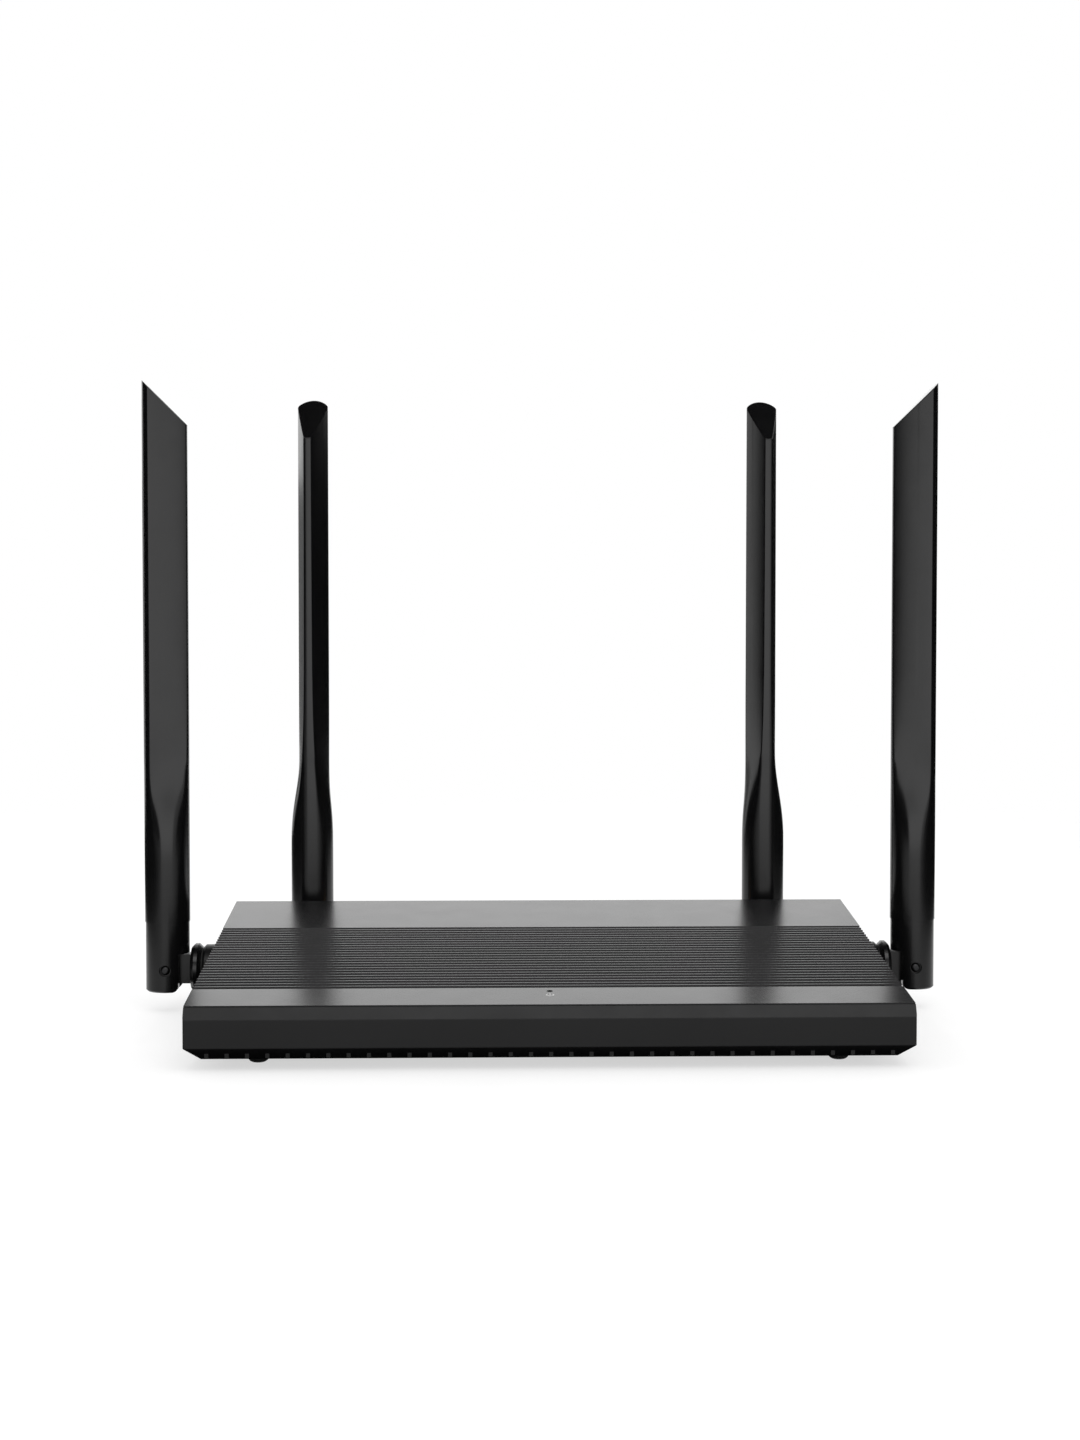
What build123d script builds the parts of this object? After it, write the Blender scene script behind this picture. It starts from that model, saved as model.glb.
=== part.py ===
from build123d import *

import os
from math import atan, cos, degrees, hypot, radians, sin

# A desktop wireless router: a low wedge-shaped case with four folding antennas.
# X runs to the right as seen from the front, Y to the rear, Z up, and Z = 0 is the table.
# All sizes are in millimetres.

# Clearances
SLIP = 0.2
RUNNING = 0.06
SNUG = 0.02
SWING = 0.4

# Case
BODY_WIDTH = 200.0
BODY_DEPTH = 119.8
FRONT_HEIGHT = 14.9
REAR_HEIGHT = 28.7
FOOT_LIFT = 3.1
WALL = 2.0
FRONT_WALL = 3.6
FRONT_BEVEL_DEPTH = 2.0
FRONT_BEVEL_HEIGHT = 3.5
LOWER_BEVEL_DEPTH = 4.4
LOWER_BEVEL_HEIGHT = 3.7
EDGE_ROUND = 0.5
LIP_LAND = 0.15
LIP_DROP = 0.3
TOOTH_PITCH = 5.52
TOOTH_MARGIN = 6.0
TOOTH_WIDTH = 1.1
TOOTH_HEIGHT = 1.2
TOOTH_LIFT = 0.7

# Top cover
COVER_THICKNESS = 2.2
COVER_EDGE = 0.3
SEAM_GAP = 0.3
FRONT_BAND = 16.2
RIB_PITCH = 2.7
GROOVE_COUNT = 25
GROOVE_WIDTH = 2.3
GROOVE_FLOOR = 1.5
GROOVE_DEPTH = 0.75
SKIRT_DEPTH = 2.5
SKIRT_THICKNESS = 1.2

# Feet, vents and wall hooks underneath
FOOT_RADIUS = 3.0
FOOT_ROUND = 1.7
FOOT_RECESS = 0.6
FOOT_INSET = 18.8
FRONT_FOOT_SETBACK = 15.8
REAR_FOOT_SETBACK = 14.0
VENT_COLUMNS = 16
VENT_WIDTH = 2.6
VENT_LENGTH = 24.0
VENT_SETBACKS = (14.0, 64.0)
KEYHOLE_SPACING = 110.0
KEYHOLE_RADIUS = 4.0
KEYHOLE_SLOT = 2.0
KEYHOLE_LENGTH = 8.0
KEYHOLE_SETBACK = 52.0

# Cover screws and their posts
SCREW_RADIUS = 1.5
SCREW_HEAD_RADIUS = 2.8
SCREW_HEAD_HEIGHT = 1.8
SCREW_GRIP = 6.0
SCREW_SINK = 1.2
POST_RADIUS = 4.4
POST_HEIGHT = 6.4
BOSS_WALL = 1.7
POST_INSET = 11.0
FRONT_POST_SETBACK = 24.0
REAR_POST_SETBACK = 9.0

# Main board and what stands on it
BOARD_SIDE_GAP = 10.65
BOARD_THICKNESS = 1.6
BOARD_LIFT = 4.4
BOARD_SETBACK = 9.0
STANDOFF_RADIUS = 3.0
STANDOFF_INSET = 5.0
STANDOFF_SETBACKS = (4.0, 78.0)
BOARD_SCREW_RADIUS = 1.25
BOARD_SCREW_HEAD = 2.4
BOARD_SCREW_HEIGHT = 1.5

# Network jacks
JACK_WIDTH = 15.6
JACK_HEIGHT = 13.4
JACK_DEPTH = 15.5
JACK_PITCH = 17.6
JACK_RECESS = 0.3
CAVITY_WIDTH = 12.0
CAVITY_HEIGHT = 7.0
CAVITY_DEPTH = 13.0
CAVITY_LIFT = 4.2
LATCH_WIDTHS = (6.2, 3.4)
LATCH_STEP = 1.4
CONTACT_COUNT = 8
CONTACT_PITCH = 1.02
CONTACT_WIDTH = 0.45
CONTACT_THICKNESS = 0.35
CONTACT_DROP = 2.0
CONTACT_LEAD = 1.5
WAN_X = 23.0
LAST_LAN_X = 2.8
LAN_COUNT = 4

# Power jack
POWER_X = 55.0
POWER_WIDTH = 9.0
POWER_HEIGHT = 11.0
POWER_DEPTH = 13.5
POWER_BORE_RADIUS = 3.15
POWER_BORE_DEPTH = 9.5
POWER_BORE_LIFT = 6.2
POWER_PIN_RADIUS = 1.0

# Push button and its switch
BUTTON_X = 40.0
BUTTON_LIFT = 5.0
BUTTON_RADIUS = 2.2
BUTTON_REACH = 1.2
BUTTON_COLLAR = 3.2
BUTTON_COLLAR_THICKNESS = 1.0
BUTTON_TRAVEL = 0.8
PLUNGER_RADIUS = 1.3
PLUNGER_GRIP = 1.5
SWITCH_WIDTH = 7.0
SWITCH_HEIGHT = 8.4
SWITCH_DEPTH = 6.0

# Chips and blocks on the board
PROCESSOR_SIZE = 14.0
PROCESSOR_HEIGHT = 1.3
SINK_SIZE = 26.0
SINK_BASE = 1.6
SINK_HEIGHT = 6.5
SINK_GAP = 10.3
FIN_COUNT = 9
FIN_THICKNESS = 1.0
MEMORY_X = 15.0
MEMORY_GAP = 9.0
MEMORY_WIDTH = 8.0
MEMORY_DEPTH = 12.0
MEMORY_HEIGHT = 1.1
SHIELD_GAP = 14.0
SHIELD_WIDTH = 26.0
SHIELD_DEPTH = 22.0
SHIELD_HEIGHT = 3.0
TRANSFORMER_COUNT = 3
TRANSFORMER_SPREAD = 64.0
TRANSFORMER_GAP = 5.7
TRANSFORMER_WIDTH = 13.0
TRANSFORMER_DEPTH = 9.0
TRANSFORMER_HEIGHT = 5.5
CAPACITOR_COUNT = 2
CAPACITOR_PITCH = 8.0
CAPACITOR_RADIUS = 3.2
CAPACITOR_HEIGHT = 9.0

# Status light
LIGHT_SETBACK = 13.1
PIPE_RADIUS = 0.85
PIPE_COLLAR = 1.6
PIPE_RECESS = 1.2
LED_SIZE = 1.6
LED_HEIGHT = 0.8

# Swivel mount of an antenna
HINGE_OFFSET = 18.7
HINGE_HEIGHT = 13.8
SIDE_HINGE_INSET = 25.2
REAR_HINGE_INSET = 23.35
BOSS_RADIUS = 7.4
BOSS_LENGTH = 7.2
BOSS_BEVEL = 0.8
FLANGE_RADIUS = 7.8
FLANGE_BEVEL = 1.1
WASHER_GAP = 0.4
WASHER_RADIUS = 6.2
SHANK_RADIUS = 4.1
CLIP_THICKNESS = 1.4
CLIP_RADIUS = 6.0
CLIP_SEAT = 3.3
CLIP_TAB_REACH = 1.6
CLIP_TAB_WIDTH = 2.4
SHANK_END = 1.6
STOP_MARGIN = 2.0
SWIVEL_SHORT = 45.0
SWIVEL_LONG = 90.0

# Tilt hinge of an antenna
PIN_RADIUS = 1.5
PIN_DOME = 0.9
PIN_SINK = 0.35
PIN_RIM = 0.35
TONGUE_RADIUS = 4.6
TONGUE_THICKNESS = 5.2
CHEEK_GAP = 0.3
YOKE_RADIUS = 6.85
YOKE_BELOW = 7.0
YOKE_NOTCH = 4.0
YOKE_CORNER = 2.0
YOKE_BEVEL = 0.5
SEAM_HEIGHT = 15.0
SPIGOT_RADIUS = 5.3
SPIGOT_LENGTH = 11.0

# Antenna sleeve
SLEEVE_RADIUS = 7.1
TIP_HEIGHT = 186.0
TIP_SLANT = 45.0
FLAT_OFFSET = 3.22
FLAT_LEAN = 18.9
FLAT_START = 70.0
FLAT_RUNOUT = 103.0
SLEEVE_RIDGE = 0.9
SLEEVE_BREAK = 0.3
SLEEVE_BORE_TOP = 40.0
CORE_BACK = 5.1
CORE_FRONT = 1.5
CORE_THICKNESS = 3.2
CORE_TOP = 165.0
RADIATOR_THICKNESS = 1.0
RADIATOR_BOTTOM = 30.0
RADIATOR_TOP = 150.0

# Coax
COAX_RADIUS = 0.65
COAX_BORE = 1.0
COAX_BEND = 6.0
COAX_LEAD = 15.0
COAX_TAIL = 4.0
SOCKET_SIZE = 3.2
SOCKET_INSET = 7.4
SIDE_SOCKET_DROP = 14.6
REAR_SOCKET_SETBACK = 20.0

# Levels and stations that follow from the sizes above
HALF_WIDTH = BODY_WIDTH / 2
FRONT_Y = -(BODY_DEPTH + HINGE_OFFSET + SLEEVE_RADIUS) / 2
REAR_Y = FRONT_Y + BODY_DEPTH
BASE_Z = FOOT_LIFT
FLOOR_Z = BASE_Z + WALL
EDGE_Y = FRONT_Y + FRONT_BEVEL_DEPTH
EDGE_Z = BASE_Z + FRONT_HEIGHT
TOP_SLOPE = atan((REAR_HEIGHT - FRONT_HEIGHT) / (REAR_Y - EDGE_Y))
REAR_HINGE_X = HALF_WIDTH - REAR_HINGE_INSET
BOARD_HALF = REAR_HINGE_X - BOARD_SIDE_GAP
BOARD_Z = FLOOR_Z + BOARD_LIFT
BOARD_TOP = BOARD_Z + BOARD_THICKNESS
BOARD_FRONT = FRONT_Y + BOARD_SETBACK
BOARD_REAR = REAR_Y - WALL - SWING
POST_TOP = BASE_Z + POST_HEIGHT
SIDE_HINGE_Y = REAR_Y - SIDE_HINGE_INSET
LIGHT_Y = EDGE_Y + LIGHT_SETBACK * cos(TOP_SLOPE)
BUTTON_Z = BOARD_TOP + BUTTON_LIFT
POWER_BORE_Z = BOARD_TOP + POWER_BORE_LIFT
BUTTON_COLLAR_BACK = REAR_Y - WALL - RUNNING - BUTTON_COLLAR_THICKNESS
SWITCH_FACE = BUTTON_COLLAR_BACK - BUTTON_TRAVEL - SWING
FLANGE_BACK = BOSS_LENGTH + WASHER_GAP
YOKE_REACH = YOKE_CORNER + hypot(YOKE_NOTCH - YOKE_CORNER, YOKE_BELOW - YOKE_CORNER)
FLANGE_FACE = HINGE_OFFSET - YOKE_REACH - SWING
CLIP_OUTER = -WALL - RUNNING
CLIP_INNER = CLIP_OUTER - CLIP_THICKNESS
SLOT_RADIUS = TONGUE_RADIUS + SWING
SLOT_WIDTH = TONGUE_THICKNESS + 2 * CHEEK_GAP
JACK_BACK = REAR_Y - JACK_RECESS - JACK_DEPTH
TRANSFORMER_Y = JACK_BACK - TRANSFORMER_GAP - TRANSFORMER_DEPTH / 2
PROCESSOR_Y = TRANSFORMER_Y - TRANSFORMER_DEPTH / 2 - SINK_GAP - SINK_SIZE / 2
MEMORY_Y = PROCESSOR_Y - SINK_SIZE / 2 - MEMORY_GAP - MEMORY_DEPTH / 2
SHIELD_X = SINK_SIZE / 2 + SHIELD_GAP + SHIELD_WIDTH / 2
SOCKET_LANDING = BOARD_HALF - SOCKET_INSET
SIDE_SOCKET_Y = SIDE_HINGE_Y - SIDE_SOCKET_DROP
REAR_SOCKET_Y = REAR_Y - REAR_SOCKET_SETBACK
LAN_XS = [LAST_LAN_X - JACK_PITCH * i for i in reversed(range(LAN_COUNT))]

# Where the four antennas sit: each place has its wall point with x pointing out of the wall,
# and how far the knuckle turns about that direction, below and above upright.
ANTENNA_PLACES = {
    "left_side": (
        Plane((-HALF_WIDTH, SIDE_HINGE_Y, HINGE_HEIGHT), x_dir=(-1, 0, 0), z_dir=(0, 0, 1)),
        (-SWIVEL_LONG, SWIVEL_SHORT),
    ),
    "right_side": (
        Plane((HALF_WIDTH, SIDE_HINGE_Y, HINGE_HEIGHT), x_dir=(1, 0, 0), z_dir=(0, 0, 1)),
        (-SWIVEL_SHORT, SWIVEL_LONG),
    ),
    "left_rear": (
        Plane((-REAR_HINGE_X, REAR_Y, HINGE_HEIGHT), x_dir=(0, 1, 0), z_dir=(0, 0, 1)),
        (-SWIVEL_LONG, SWIVEL_SHORT),
    ),
    "right_rear": (
        Plane((REAR_HINGE_X, REAR_Y, HINGE_HEIGHT), x_dir=(0, 1, 0), z_dir=(0, 0, 1)),
        (-SWIVEL_SHORT, SWIVEL_LONG),
    ),
}


def block(x0, x1, y0, y1, z0, z1):
    """Box between two limits along each axis."""
    return Pos((x0 + x1) / 2, (y0 + y1) / 2, (z0 + z1) / 2) * Box(x1 - x0, y1 - y0, z1 - z0)


def rod_x(radius, x0, x1, y=0.0, z=0.0):
    """Round bar along X."""
    return Pos((x0 + x1) / 2, y, z) * Rot(0, 90, 0) * Cylinder(radius, x1 - x0)


def rod_y(radius, y0, y1, x=0.0, z=0.0):
    """Round bar along Y."""
    return Pos(x, (y0 + y1) / 2, z) * Rot(90, 0, 0) * Cylinder(radius, y1 - y0)


def rod_z(radius, z0, z1, x=0.0, y=0.0):
    """Round bar along Z."""
    return Pos(x, y, (z0 + z1) / 2) * Cylinder(radius, z1 - z0)


def side_prism(points, half_width):
    """Solid with an outline in Y and Z that runs across the width on both sides of the middle."""
    return extrude(Plane.YZ * Polygon(*points, align=None), amount=half_width, both=True)


def on_top(distance, depth):
    """Point (y, z) on the sloping top, by distance from its front edge and depth below it."""
    y = EDGE_Y + distance * cos(TOP_SLOPE) + depth * sin(TOP_SLOPE)
    return (y, EDGE_Z + distance * sin(TOP_SLOPE) - depth * cos(TOP_SLOPE))


def top_z(y, depth=0.0):
    """Height of the sloping top, or of a level parallel to it at some depth below."""
    return EDGE_Z + (y - EDGE_Y) * sin(TOP_SLOPE) / cos(TOP_SLOPE) - depth / cos(TOP_SLOPE)


def under_z(y):
    """Height of the cover's underside."""
    return top_z(y, COVER_THICKNESS)


def post_places():
    """Centres of the four cover screws."""
    ys = (FRONT_Y + FRONT_POST_SETBACK, REAR_Y - REAR_POST_SETBACK)
    return [(side * (HALF_WIDTH - POST_INSET), y) for side in (-1, 1) for y in ys]


def foot_places():
    """Centres of the four feet."""
    ys = (FRONT_Y + FRONT_FOOT_SETBACK, REAR_Y - REAR_FOOT_SETBACK)
    return [(side * (HALF_WIDTH - FOOT_INSET), y) for side in (-1, 1) for y in ys]


def standoff_places():
    """Centres of the four board screws."""
    reach = BOARD_HALF - STANDOFF_INSET
    return [(side * reach, BOARD_FRONT + setback) for side in (-1, 1) for setback in STANDOFF_SETBACKS]


def bevel_run(inset):
    """Run of the lower bevel on a tub drawn in by a wall thickness."""
    slant = hypot(LOWER_BEVEL_DEPTH, LOWER_BEVEL_HEIGHT)
    return LOWER_BEVEL_DEPTH - inset * (1 + (LOWER_BEVEL_DEPTH - slant) / LOWER_BEVEL_HEIGHT)


def bevel_sides(tub, half_width, bottom, run):
    """Cut the lower bevel along both sides of a tub."""
    ratio = LOWER_BEVEL_HEIGHT / LOWER_BEVEL_DEPTH
    corner = (half_width + 1, bottom - ratio)
    points = [(half_width - run - 1, bottom - ratio), corner, (half_width + 1, bottom + ratio * (run + 1))]
    wedge = extrude(Plane.XZ * Polygon(*points, align=None), amount=2 * BODY_DEPTH, both=True)
    return tub - wedge - mirror(wedge, Plane.YZ)


def case_outside():
    """Outer shape of the bottom case, with its edges eased."""
    seat_y = EDGE_Y + LIP_LAND
    lip_y = EDGE_Y - LIP_DROP * FRONT_BEVEL_DEPTH / FRONT_BEVEL_HEIGHT
    lip_z = EDGE_Z - LIP_DROP
    tub = side_prism(
        [
            (FRONT_Y + LOWER_BEVEL_DEPTH, BASE_Z),
            (FRONT_Y, BASE_Z + LOWER_BEVEL_HEIGHT),
            (FRONT_Y, EDGE_Z - FRONT_BEVEL_HEIGHT),
            (lip_y, lip_z),
            (seat_y, top_z(seat_y, LIP_DROP)),
            (seat_y, under_z(seat_y)),
            (REAR_Y, under_z(REAR_Y)),
            (REAR_Y, BASE_Z),
        ],
        HALF_WIDTH,
    )
    tub = bevel_sides(tub, HALF_WIDTH, BASE_Z, LOWER_BEVEL_DEPTH)
    front = tub.edges().filter_by(Axis.X).group_by(Axis.Y)[0]
    return fillet(front + tub.edges().filter_by(Axis.Z).group_by(Axis.Y)[0], EDGE_ROUND)


def case_inside():
    """Space inside the bottom case, open at the top."""
    front = FRONT_Y + FRONT_WALL
    rear = REAR_Y - WALL
    run = bevel_run(WALL)
    front_run = max(run - (FRONT_WALL - WALL), EDGE_ROUND)
    rise = front_run * LOWER_BEVEL_HEIGHT / LOWER_BEVEL_DEPTH
    above = BASE_Z + 2 * REAR_HEIGHT
    points = [(front + front_run, FLOOR_Z), (front, FLOOR_Z + rise), (front, above), (rear, above)]
    space = side_prism(points + [(rear, FLOOR_Z)], HALF_WIDTH - WALL)
    return bevel_sides(space, HALF_WIDTH - WALL, FLOOR_Z, run)


def case_teeth():
    """Row of small upright teeth along the lower bevel of the front."""
    back = FRONT_Y + LOWER_BEVEL_DEPTH
    bottom = BASE_Z + TOOTH_LIFT
    front = back - (TOOTH_LIFT + TOOTH_HEIGHT) * LOWER_BEVEL_DEPTH / LOWER_BEVEL_HEIGHT
    half = TOOTH_WIDTH / 2
    tooth = block(-half, half, front, back + WALL / 2, bottom, bottom + TOOTH_HEIGHT)
    count = int((HALF_WIDTH - TOOTH_MARGIN) / TOOTH_PITCH)
    return [Pos(TOOTH_PITCH * i, 0, 0) * tooth for i in range(-count, count + 1)]


def floor_openings():
    """Vent slots and wall-hook keyholes through the floor, and the recesses of the feet."""
    cuts = []
    for setback in VENT_SETBACKS:
        y = FRONT_Y + setback
        for i in range(VENT_COLUMNS):
            x = TOOTH_PITCH * (i - (VENT_COLUMNS - 1) / 2)
            cuts.append(block(x - VENT_WIDTH / 2, x + VENT_WIDTH / 2, y, y + VENT_LENGTH, 0, FLOOR_Z + 1))
    y = FRONT_Y + KEYHOLE_SETBACK
    for x in (-KEYHOLE_SPACING / 2, KEYHOLE_SPACING / 2):
        cuts.append(rod_z(KEYHOLE_RADIUS, 0, FLOOR_Z + 1, x, y))
        cuts.append(block(x - KEYHOLE_SLOT, x + KEYHOLE_SLOT, y - KEYHOLE_LENGTH, y, 0, FLOOR_Z + 1))
        cuts.append(rod_z(KEYHOLE_SLOT, 0, FLOOR_Z + 1, x, y - KEYHOLE_LENGTH))
    for x, y in foot_places():
        cuts.append(rod_z(FOOT_RADIUS + SLIP, 0, BASE_Z + FOOT_RECESS, x, y))
    return cuts


def rear_openings():
    """Windows in the rear wall for the jacks, and the hole for the button."""
    cuts = []
    for x in LAN_XS + [WAN_X]:
        cuts.append(window(x, JACK_WIDTH, JACK_HEIGHT))
    cuts.append(window(POWER_X, POWER_WIDTH, POWER_HEIGHT))
    cuts.append(rod_y(BUTTON_RADIUS + RUNNING, REAR_Y - 2 * WALL, REAR_Y + WALL, BUTTON_X, BUTTON_Z))
    return cuts


def window(x, width, height):
    """Window in the rear wall around one jack that stands on the board."""
    half = width / 2 + SLIP
    top = BOARD_TOP + height + SLIP
    return block(x - half, x + half, REAR_Y - 2 * WALL, REAR_Y + WALL, BOARD_TOP - SLIP, top)


def screw_posts():
    """Posts for the cover screws and standoffs for the board, standing on the floor."""
    posts = [rod_z(POST_RADIUS, BASE_Z, POST_TOP, x, y) for x, y in post_places()]
    return posts + [rod_z(STANDOFF_RADIUS, BASE_Z + WALL / 2, BOARD_Z, x, y) for x, y in standoff_places()]


def screw_holes():
    """Stepped holes through the posts, open below, and blind holes in the standoffs."""
    head_top = BASE_Z + SCREW_SINK + SCREW_HEAD_HEIGHT
    cuts = []
    for x, y in post_places():
        cuts.append(rod_z(SCREW_HEAD_RADIUS + SLIP, 0, head_top, x, y))
        cuts.append(rod_z(SCREW_RADIUS + SLIP, 0, POST_TOP + 1, x, y))
    for x, y in standoff_places():
        cuts.append(rod_z(BOARD_SCREW_RADIUS + SNUG, FLOOR_Z, BOARD_Z + 1, x, y))
    return cuts


def swivel_boss():
    """Round boss on the outside of a wall, where a knuckle enters."""
    boss = rod_x(BOSS_RADIUS, -WALL / 2, BOSS_LENGTH)
    return chamfer(boss.edges().sort_by(Axis.X)[-1], BOSS_BEVEL)


def swivel_stop(low, high):
    """Curved rib on the inside of a wall that the clip's tab turns between."""
    spread = degrees(atan(CLIP_TAB_WIDTH / 2 / CLIP_RADIUS)) + STOP_MARGIN
    start = 90 + low - spread
    turn = high - low + 2 * spread
    reach = 3 * CLIP_RADIUS
    sweep = [radians(start + turn * i / 4) for i in range(5)]
    gap = Polygon((0, 0), *[(reach * cos(a), reach * sin(a)) for a in sweep], align=None)
    inner = CLIP_RADIUS + SWING
    outer = CLIP_RADIUS + CLIP_TAB_REACH
    ring = rod_x(outer, CLIP_INNER, -WALL / 2) - rod_x(inner, CLIP_INNER - 1, -WALL)
    return ring - extrude(Plane.YZ * gap, amount=-WALL - BODY_WIDTH) - rod_x(inner, CLIP_INNER, 0)


def bottom_case():
    """Tub of the case: floor, walls, antenna bosses, posts and every opening."""
    bosses = [place * swivel_boss() for place, limits in ANTENNA_PLACES.values()]
    stops = [place * swivel_stop(*limits) for place, limits in ANTENNA_PLACES.values()]
    shaft = rod_x(SHANK_RADIUS + RUNNING, -2 * WALL, 2 * BOSS_LENGTH)
    shafts = [place * shaft for place, limits in ANTENNA_PLACES.values()]
    case = case_outside() + case_teeth() - case_inside()
    case = case + bosses + stops + screw_posts()
    return case - shafts - screw_holes() - floor_openings() - rear_openings()


def cover_plate():
    """Sloping top plate with the grooves between its ribs."""
    front = EDGE_Y + LIP_LAND + SEAM_GAP
    plate = side_prism(
        [(front, under_z(front)), (front, top_z(front)), (REAR_Y, top_z(REAR_Y)), (REAR_Y, under_z(REAR_Y))],
        HALF_WIDTH,
    )
    plate = chamfer(plate.faces().sort_by(Axis.Z)[-1].edges(), COVER_EDGE)
    side = (GROOVE_WIDTH - GROOVE_FLOOR) / 2
    grooves = []
    for i in range(GROOVE_COUNT):
        start = FRONT_BAND + RIB_PITCH * i + (RIB_PITCH - GROOVE_WIDTH) / 2
        end = start + GROOVE_WIDTH
        outline = [on_top(start - side, -GROOVE_DEPTH), on_top(start + side, GROOVE_DEPTH)]
        outline += [on_top(end - side, GROOVE_DEPTH), on_top(end + side, -GROOVE_DEPTH)]
        grooves.append(side_prism(outline, BODY_WIDTH))
    return plate - grooves


def cover_skirt():
    """Thin rim under the cover that drops inside the walls of the case."""
    front = FRONT_Y + FRONT_WALL + SLIP
    rear = REAR_Y - WALL - SLIP
    half = HALF_WIDTH - WALL - SLIP
    rim = skirt_prism(front, rear, half)
    return rim - skirt_prism(front + SKIRT_THICKNESS, rear - SKIRT_THICKNESS, half - SKIRT_THICKNESS)


def skirt_prism(front, rear, half):
    """Slab that hangs under the cover between two stations."""
    drop = SKIRT_DEPTH
    lift = COVER_THICKNESS / 4
    points = [(front, under_z(front) - drop), (front, under_z(front) + lift)]
    points += [(rear, under_z(rear) + lift), (rear, under_z(rear) - drop)]
    return side_prism(points, half)


def top_cover():
    """Top cover with its skirt, screw bosses and the hole of the status light."""
    plate = cover_plate()
    bosses = []
    pilots = []
    for x, y in post_places():
        top = under_z(y) + COVER_THICKNESS / 3
        bosses.append(rod_z(SCREW_RADIUS + BOSS_WALL, POST_TOP + SNUG, top, x, y))
        pilots.append(rod_z(SCREW_RADIUS + SNUG, POST_TOP, POST_TOP + SCREW_GRIP + SLIP, x, y))
    light = rod_z(PIPE_RADIUS + SNUG, 0, top_z(REAR_Y), 0, LIGHT_Y)
    return plate + cover_skirt() + bosses - pilots - light


def rubber_feet():
    """Four domed feet, each let into a recess of the floor."""
    foot = rod_z(FOOT_RADIUS, 0, BASE_Z + FOOT_RECESS)
    foot = fillet(foot.edges().sort_by(Axis.Z)[0], FOOT_ROUND)
    return Compound([Pos(x, y, 0) * foot for x, y in foot_places()])


def cross_slot(radius, bottom, depth):
    """Cross-shaped driver recess, open below."""
    width = radius / 4
    top = bottom + depth
    arm = block(-radius * 0.6, radius * 0.6, -width, width, bottom - depth, top)
    return arm + block(-width, width, -radius * 0.6, radius * 0.6, bottom - depth, top)


def cover_screws():
    """Four screws that hold the cover from below."""
    bottom = BASE_Z + SCREW_SINK
    screw = rod_z(SCREW_HEAD_RADIUS, bottom, bottom + SCREW_HEAD_HEIGHT)
    screw = screw + rod_z(SCREW_RADIUS, bottom + SCREW_HEAD_HEIGHT, POST_TOP + SCREW_GRIP)
    screw = screw - cross_slot(SCREW_HEAD_RADIUS, bottom, SCREW_HEAD_HEIGHT / 2)
    return Compound([Pos(x, y, 0) * screw for x, y in post_places()])


def main_board():
    """Circuit board with its screw holes."""
    board = block(-BOARD_HALF, BOARD_HALF, BOARD_FRONT, BOARD_REAR, BOARD_Z, BOARD_TOP)
    return board - [rod_z(BOARD_SCREW_RADIUS + SLIP, 0, BOARD_TOP + 1, x, y) for x, y in standoff_places()]


def board_screws():
    """Four screws that hold the board on its standoffs."""
    screw = rod_z(BOARD_SCREW_HEAD, BOARD_TOP, BOARD_TOP + BOARD_SCREW_HEIGHT)
    screw = screw + rod_z(BOARD_SCREW_RADIUS, FLOOR_Z + SLIP, BOARD_TOP)
    slot = Pos(0, 0, 2 * BOARD_TOP + BOARD_SCREW_HEIGHT) * Rot(180, 0, 0)
    screw = screw - slot * cross_slot(BOARD_SCREW_HEAD, BOARD_TOP, BOARD_SCREW_HEIGHT / 2)
    return Compound([Pos(x, y, 0) * screw for x, y in standoff_places()])


def network_jack(x):
    """Network jack at the rear wall: a block with its plug cavity and stepped latch way."""
    mouth = REAR_Y - JACK_RECESS
    end = mouth - CAVITY_DEPTH
    half = JACK_WIDTH / 2
    jack = block(x - half, x + half, mouth - JACK_DEPTH, mouth, BOARD_TOP, BOARD_TOP + JACK_HEIGHT)
    bottom = BOARD_TOP + CAVITY_LIFT
    half = CAVITY_WIDTH / 2
    jack = jack - block(x - half, x + half, end, mouth + 1, bottom, bottom + CAVITY_HEIGHT)
    for i, width in enumerate(LATCH_WIDTHS):
        floor = bottom - LATCH_STEP * (i + 1)
        jack = jack - block(x - width / 2, x + width / 2, end, mouth + 1, floor, bottom + LATCH_STEP)
    return jack


def jack_contacts():
    """Spring contacts under the roof of every network jack, sloping down towards its back."""
    roof = BOARD_TOP + CAVITY_LIFT + CAVITY_HEIGHT
    start = REAR_Y - JACK_RECESS - CONTACT_LEAD
    back = REAR_Y - JACK_RECESS - CAVITY_DEPTH + CONTACT_LEAD
    bend = start - CONTACT_LEAD
    outline = [(start, roof), (bend, roof), (back, roof - CONTACT_DROP)]
    outline += [(back, roof - CONTACT_DROP - CONTACT_THICKNESS)]
    outline += [(bend, roof - CONTACT_THICKNESS), (start, roof - CONTACT_THICKNESS)]
    contact = side_prism(outline, CONTACT_WIDTH / 2)
    offsets = [CONTACT_PITCH * (i - (CONTACT_COUNT - 1) / 2) for i in range(CONTACT_COUNT)]
    return Compound([Pos(x + offset, 0, 0) * contact for x in LAN_XS + [WAN_X] for offset in offsets])


def power_jack():
    """Housing of the power inlet with its round socket."""
    mouth = REAR_Y - JACK_RECESS
    half = POWER_WIDTH / 2
    top = BOARD_TOP + POWER_HEIGHT
    jack = block(POWER_X - half, POWER_X + half, mouth - POWER_DEPTH, mouth, BOARD_TOP, top)
    return jack - rod_y(POWER_BORE_RADIUS, mouth - POWER_BORE_DEPTH, mouth + 1, POWER_X, POWER_BORE_Z)


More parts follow.
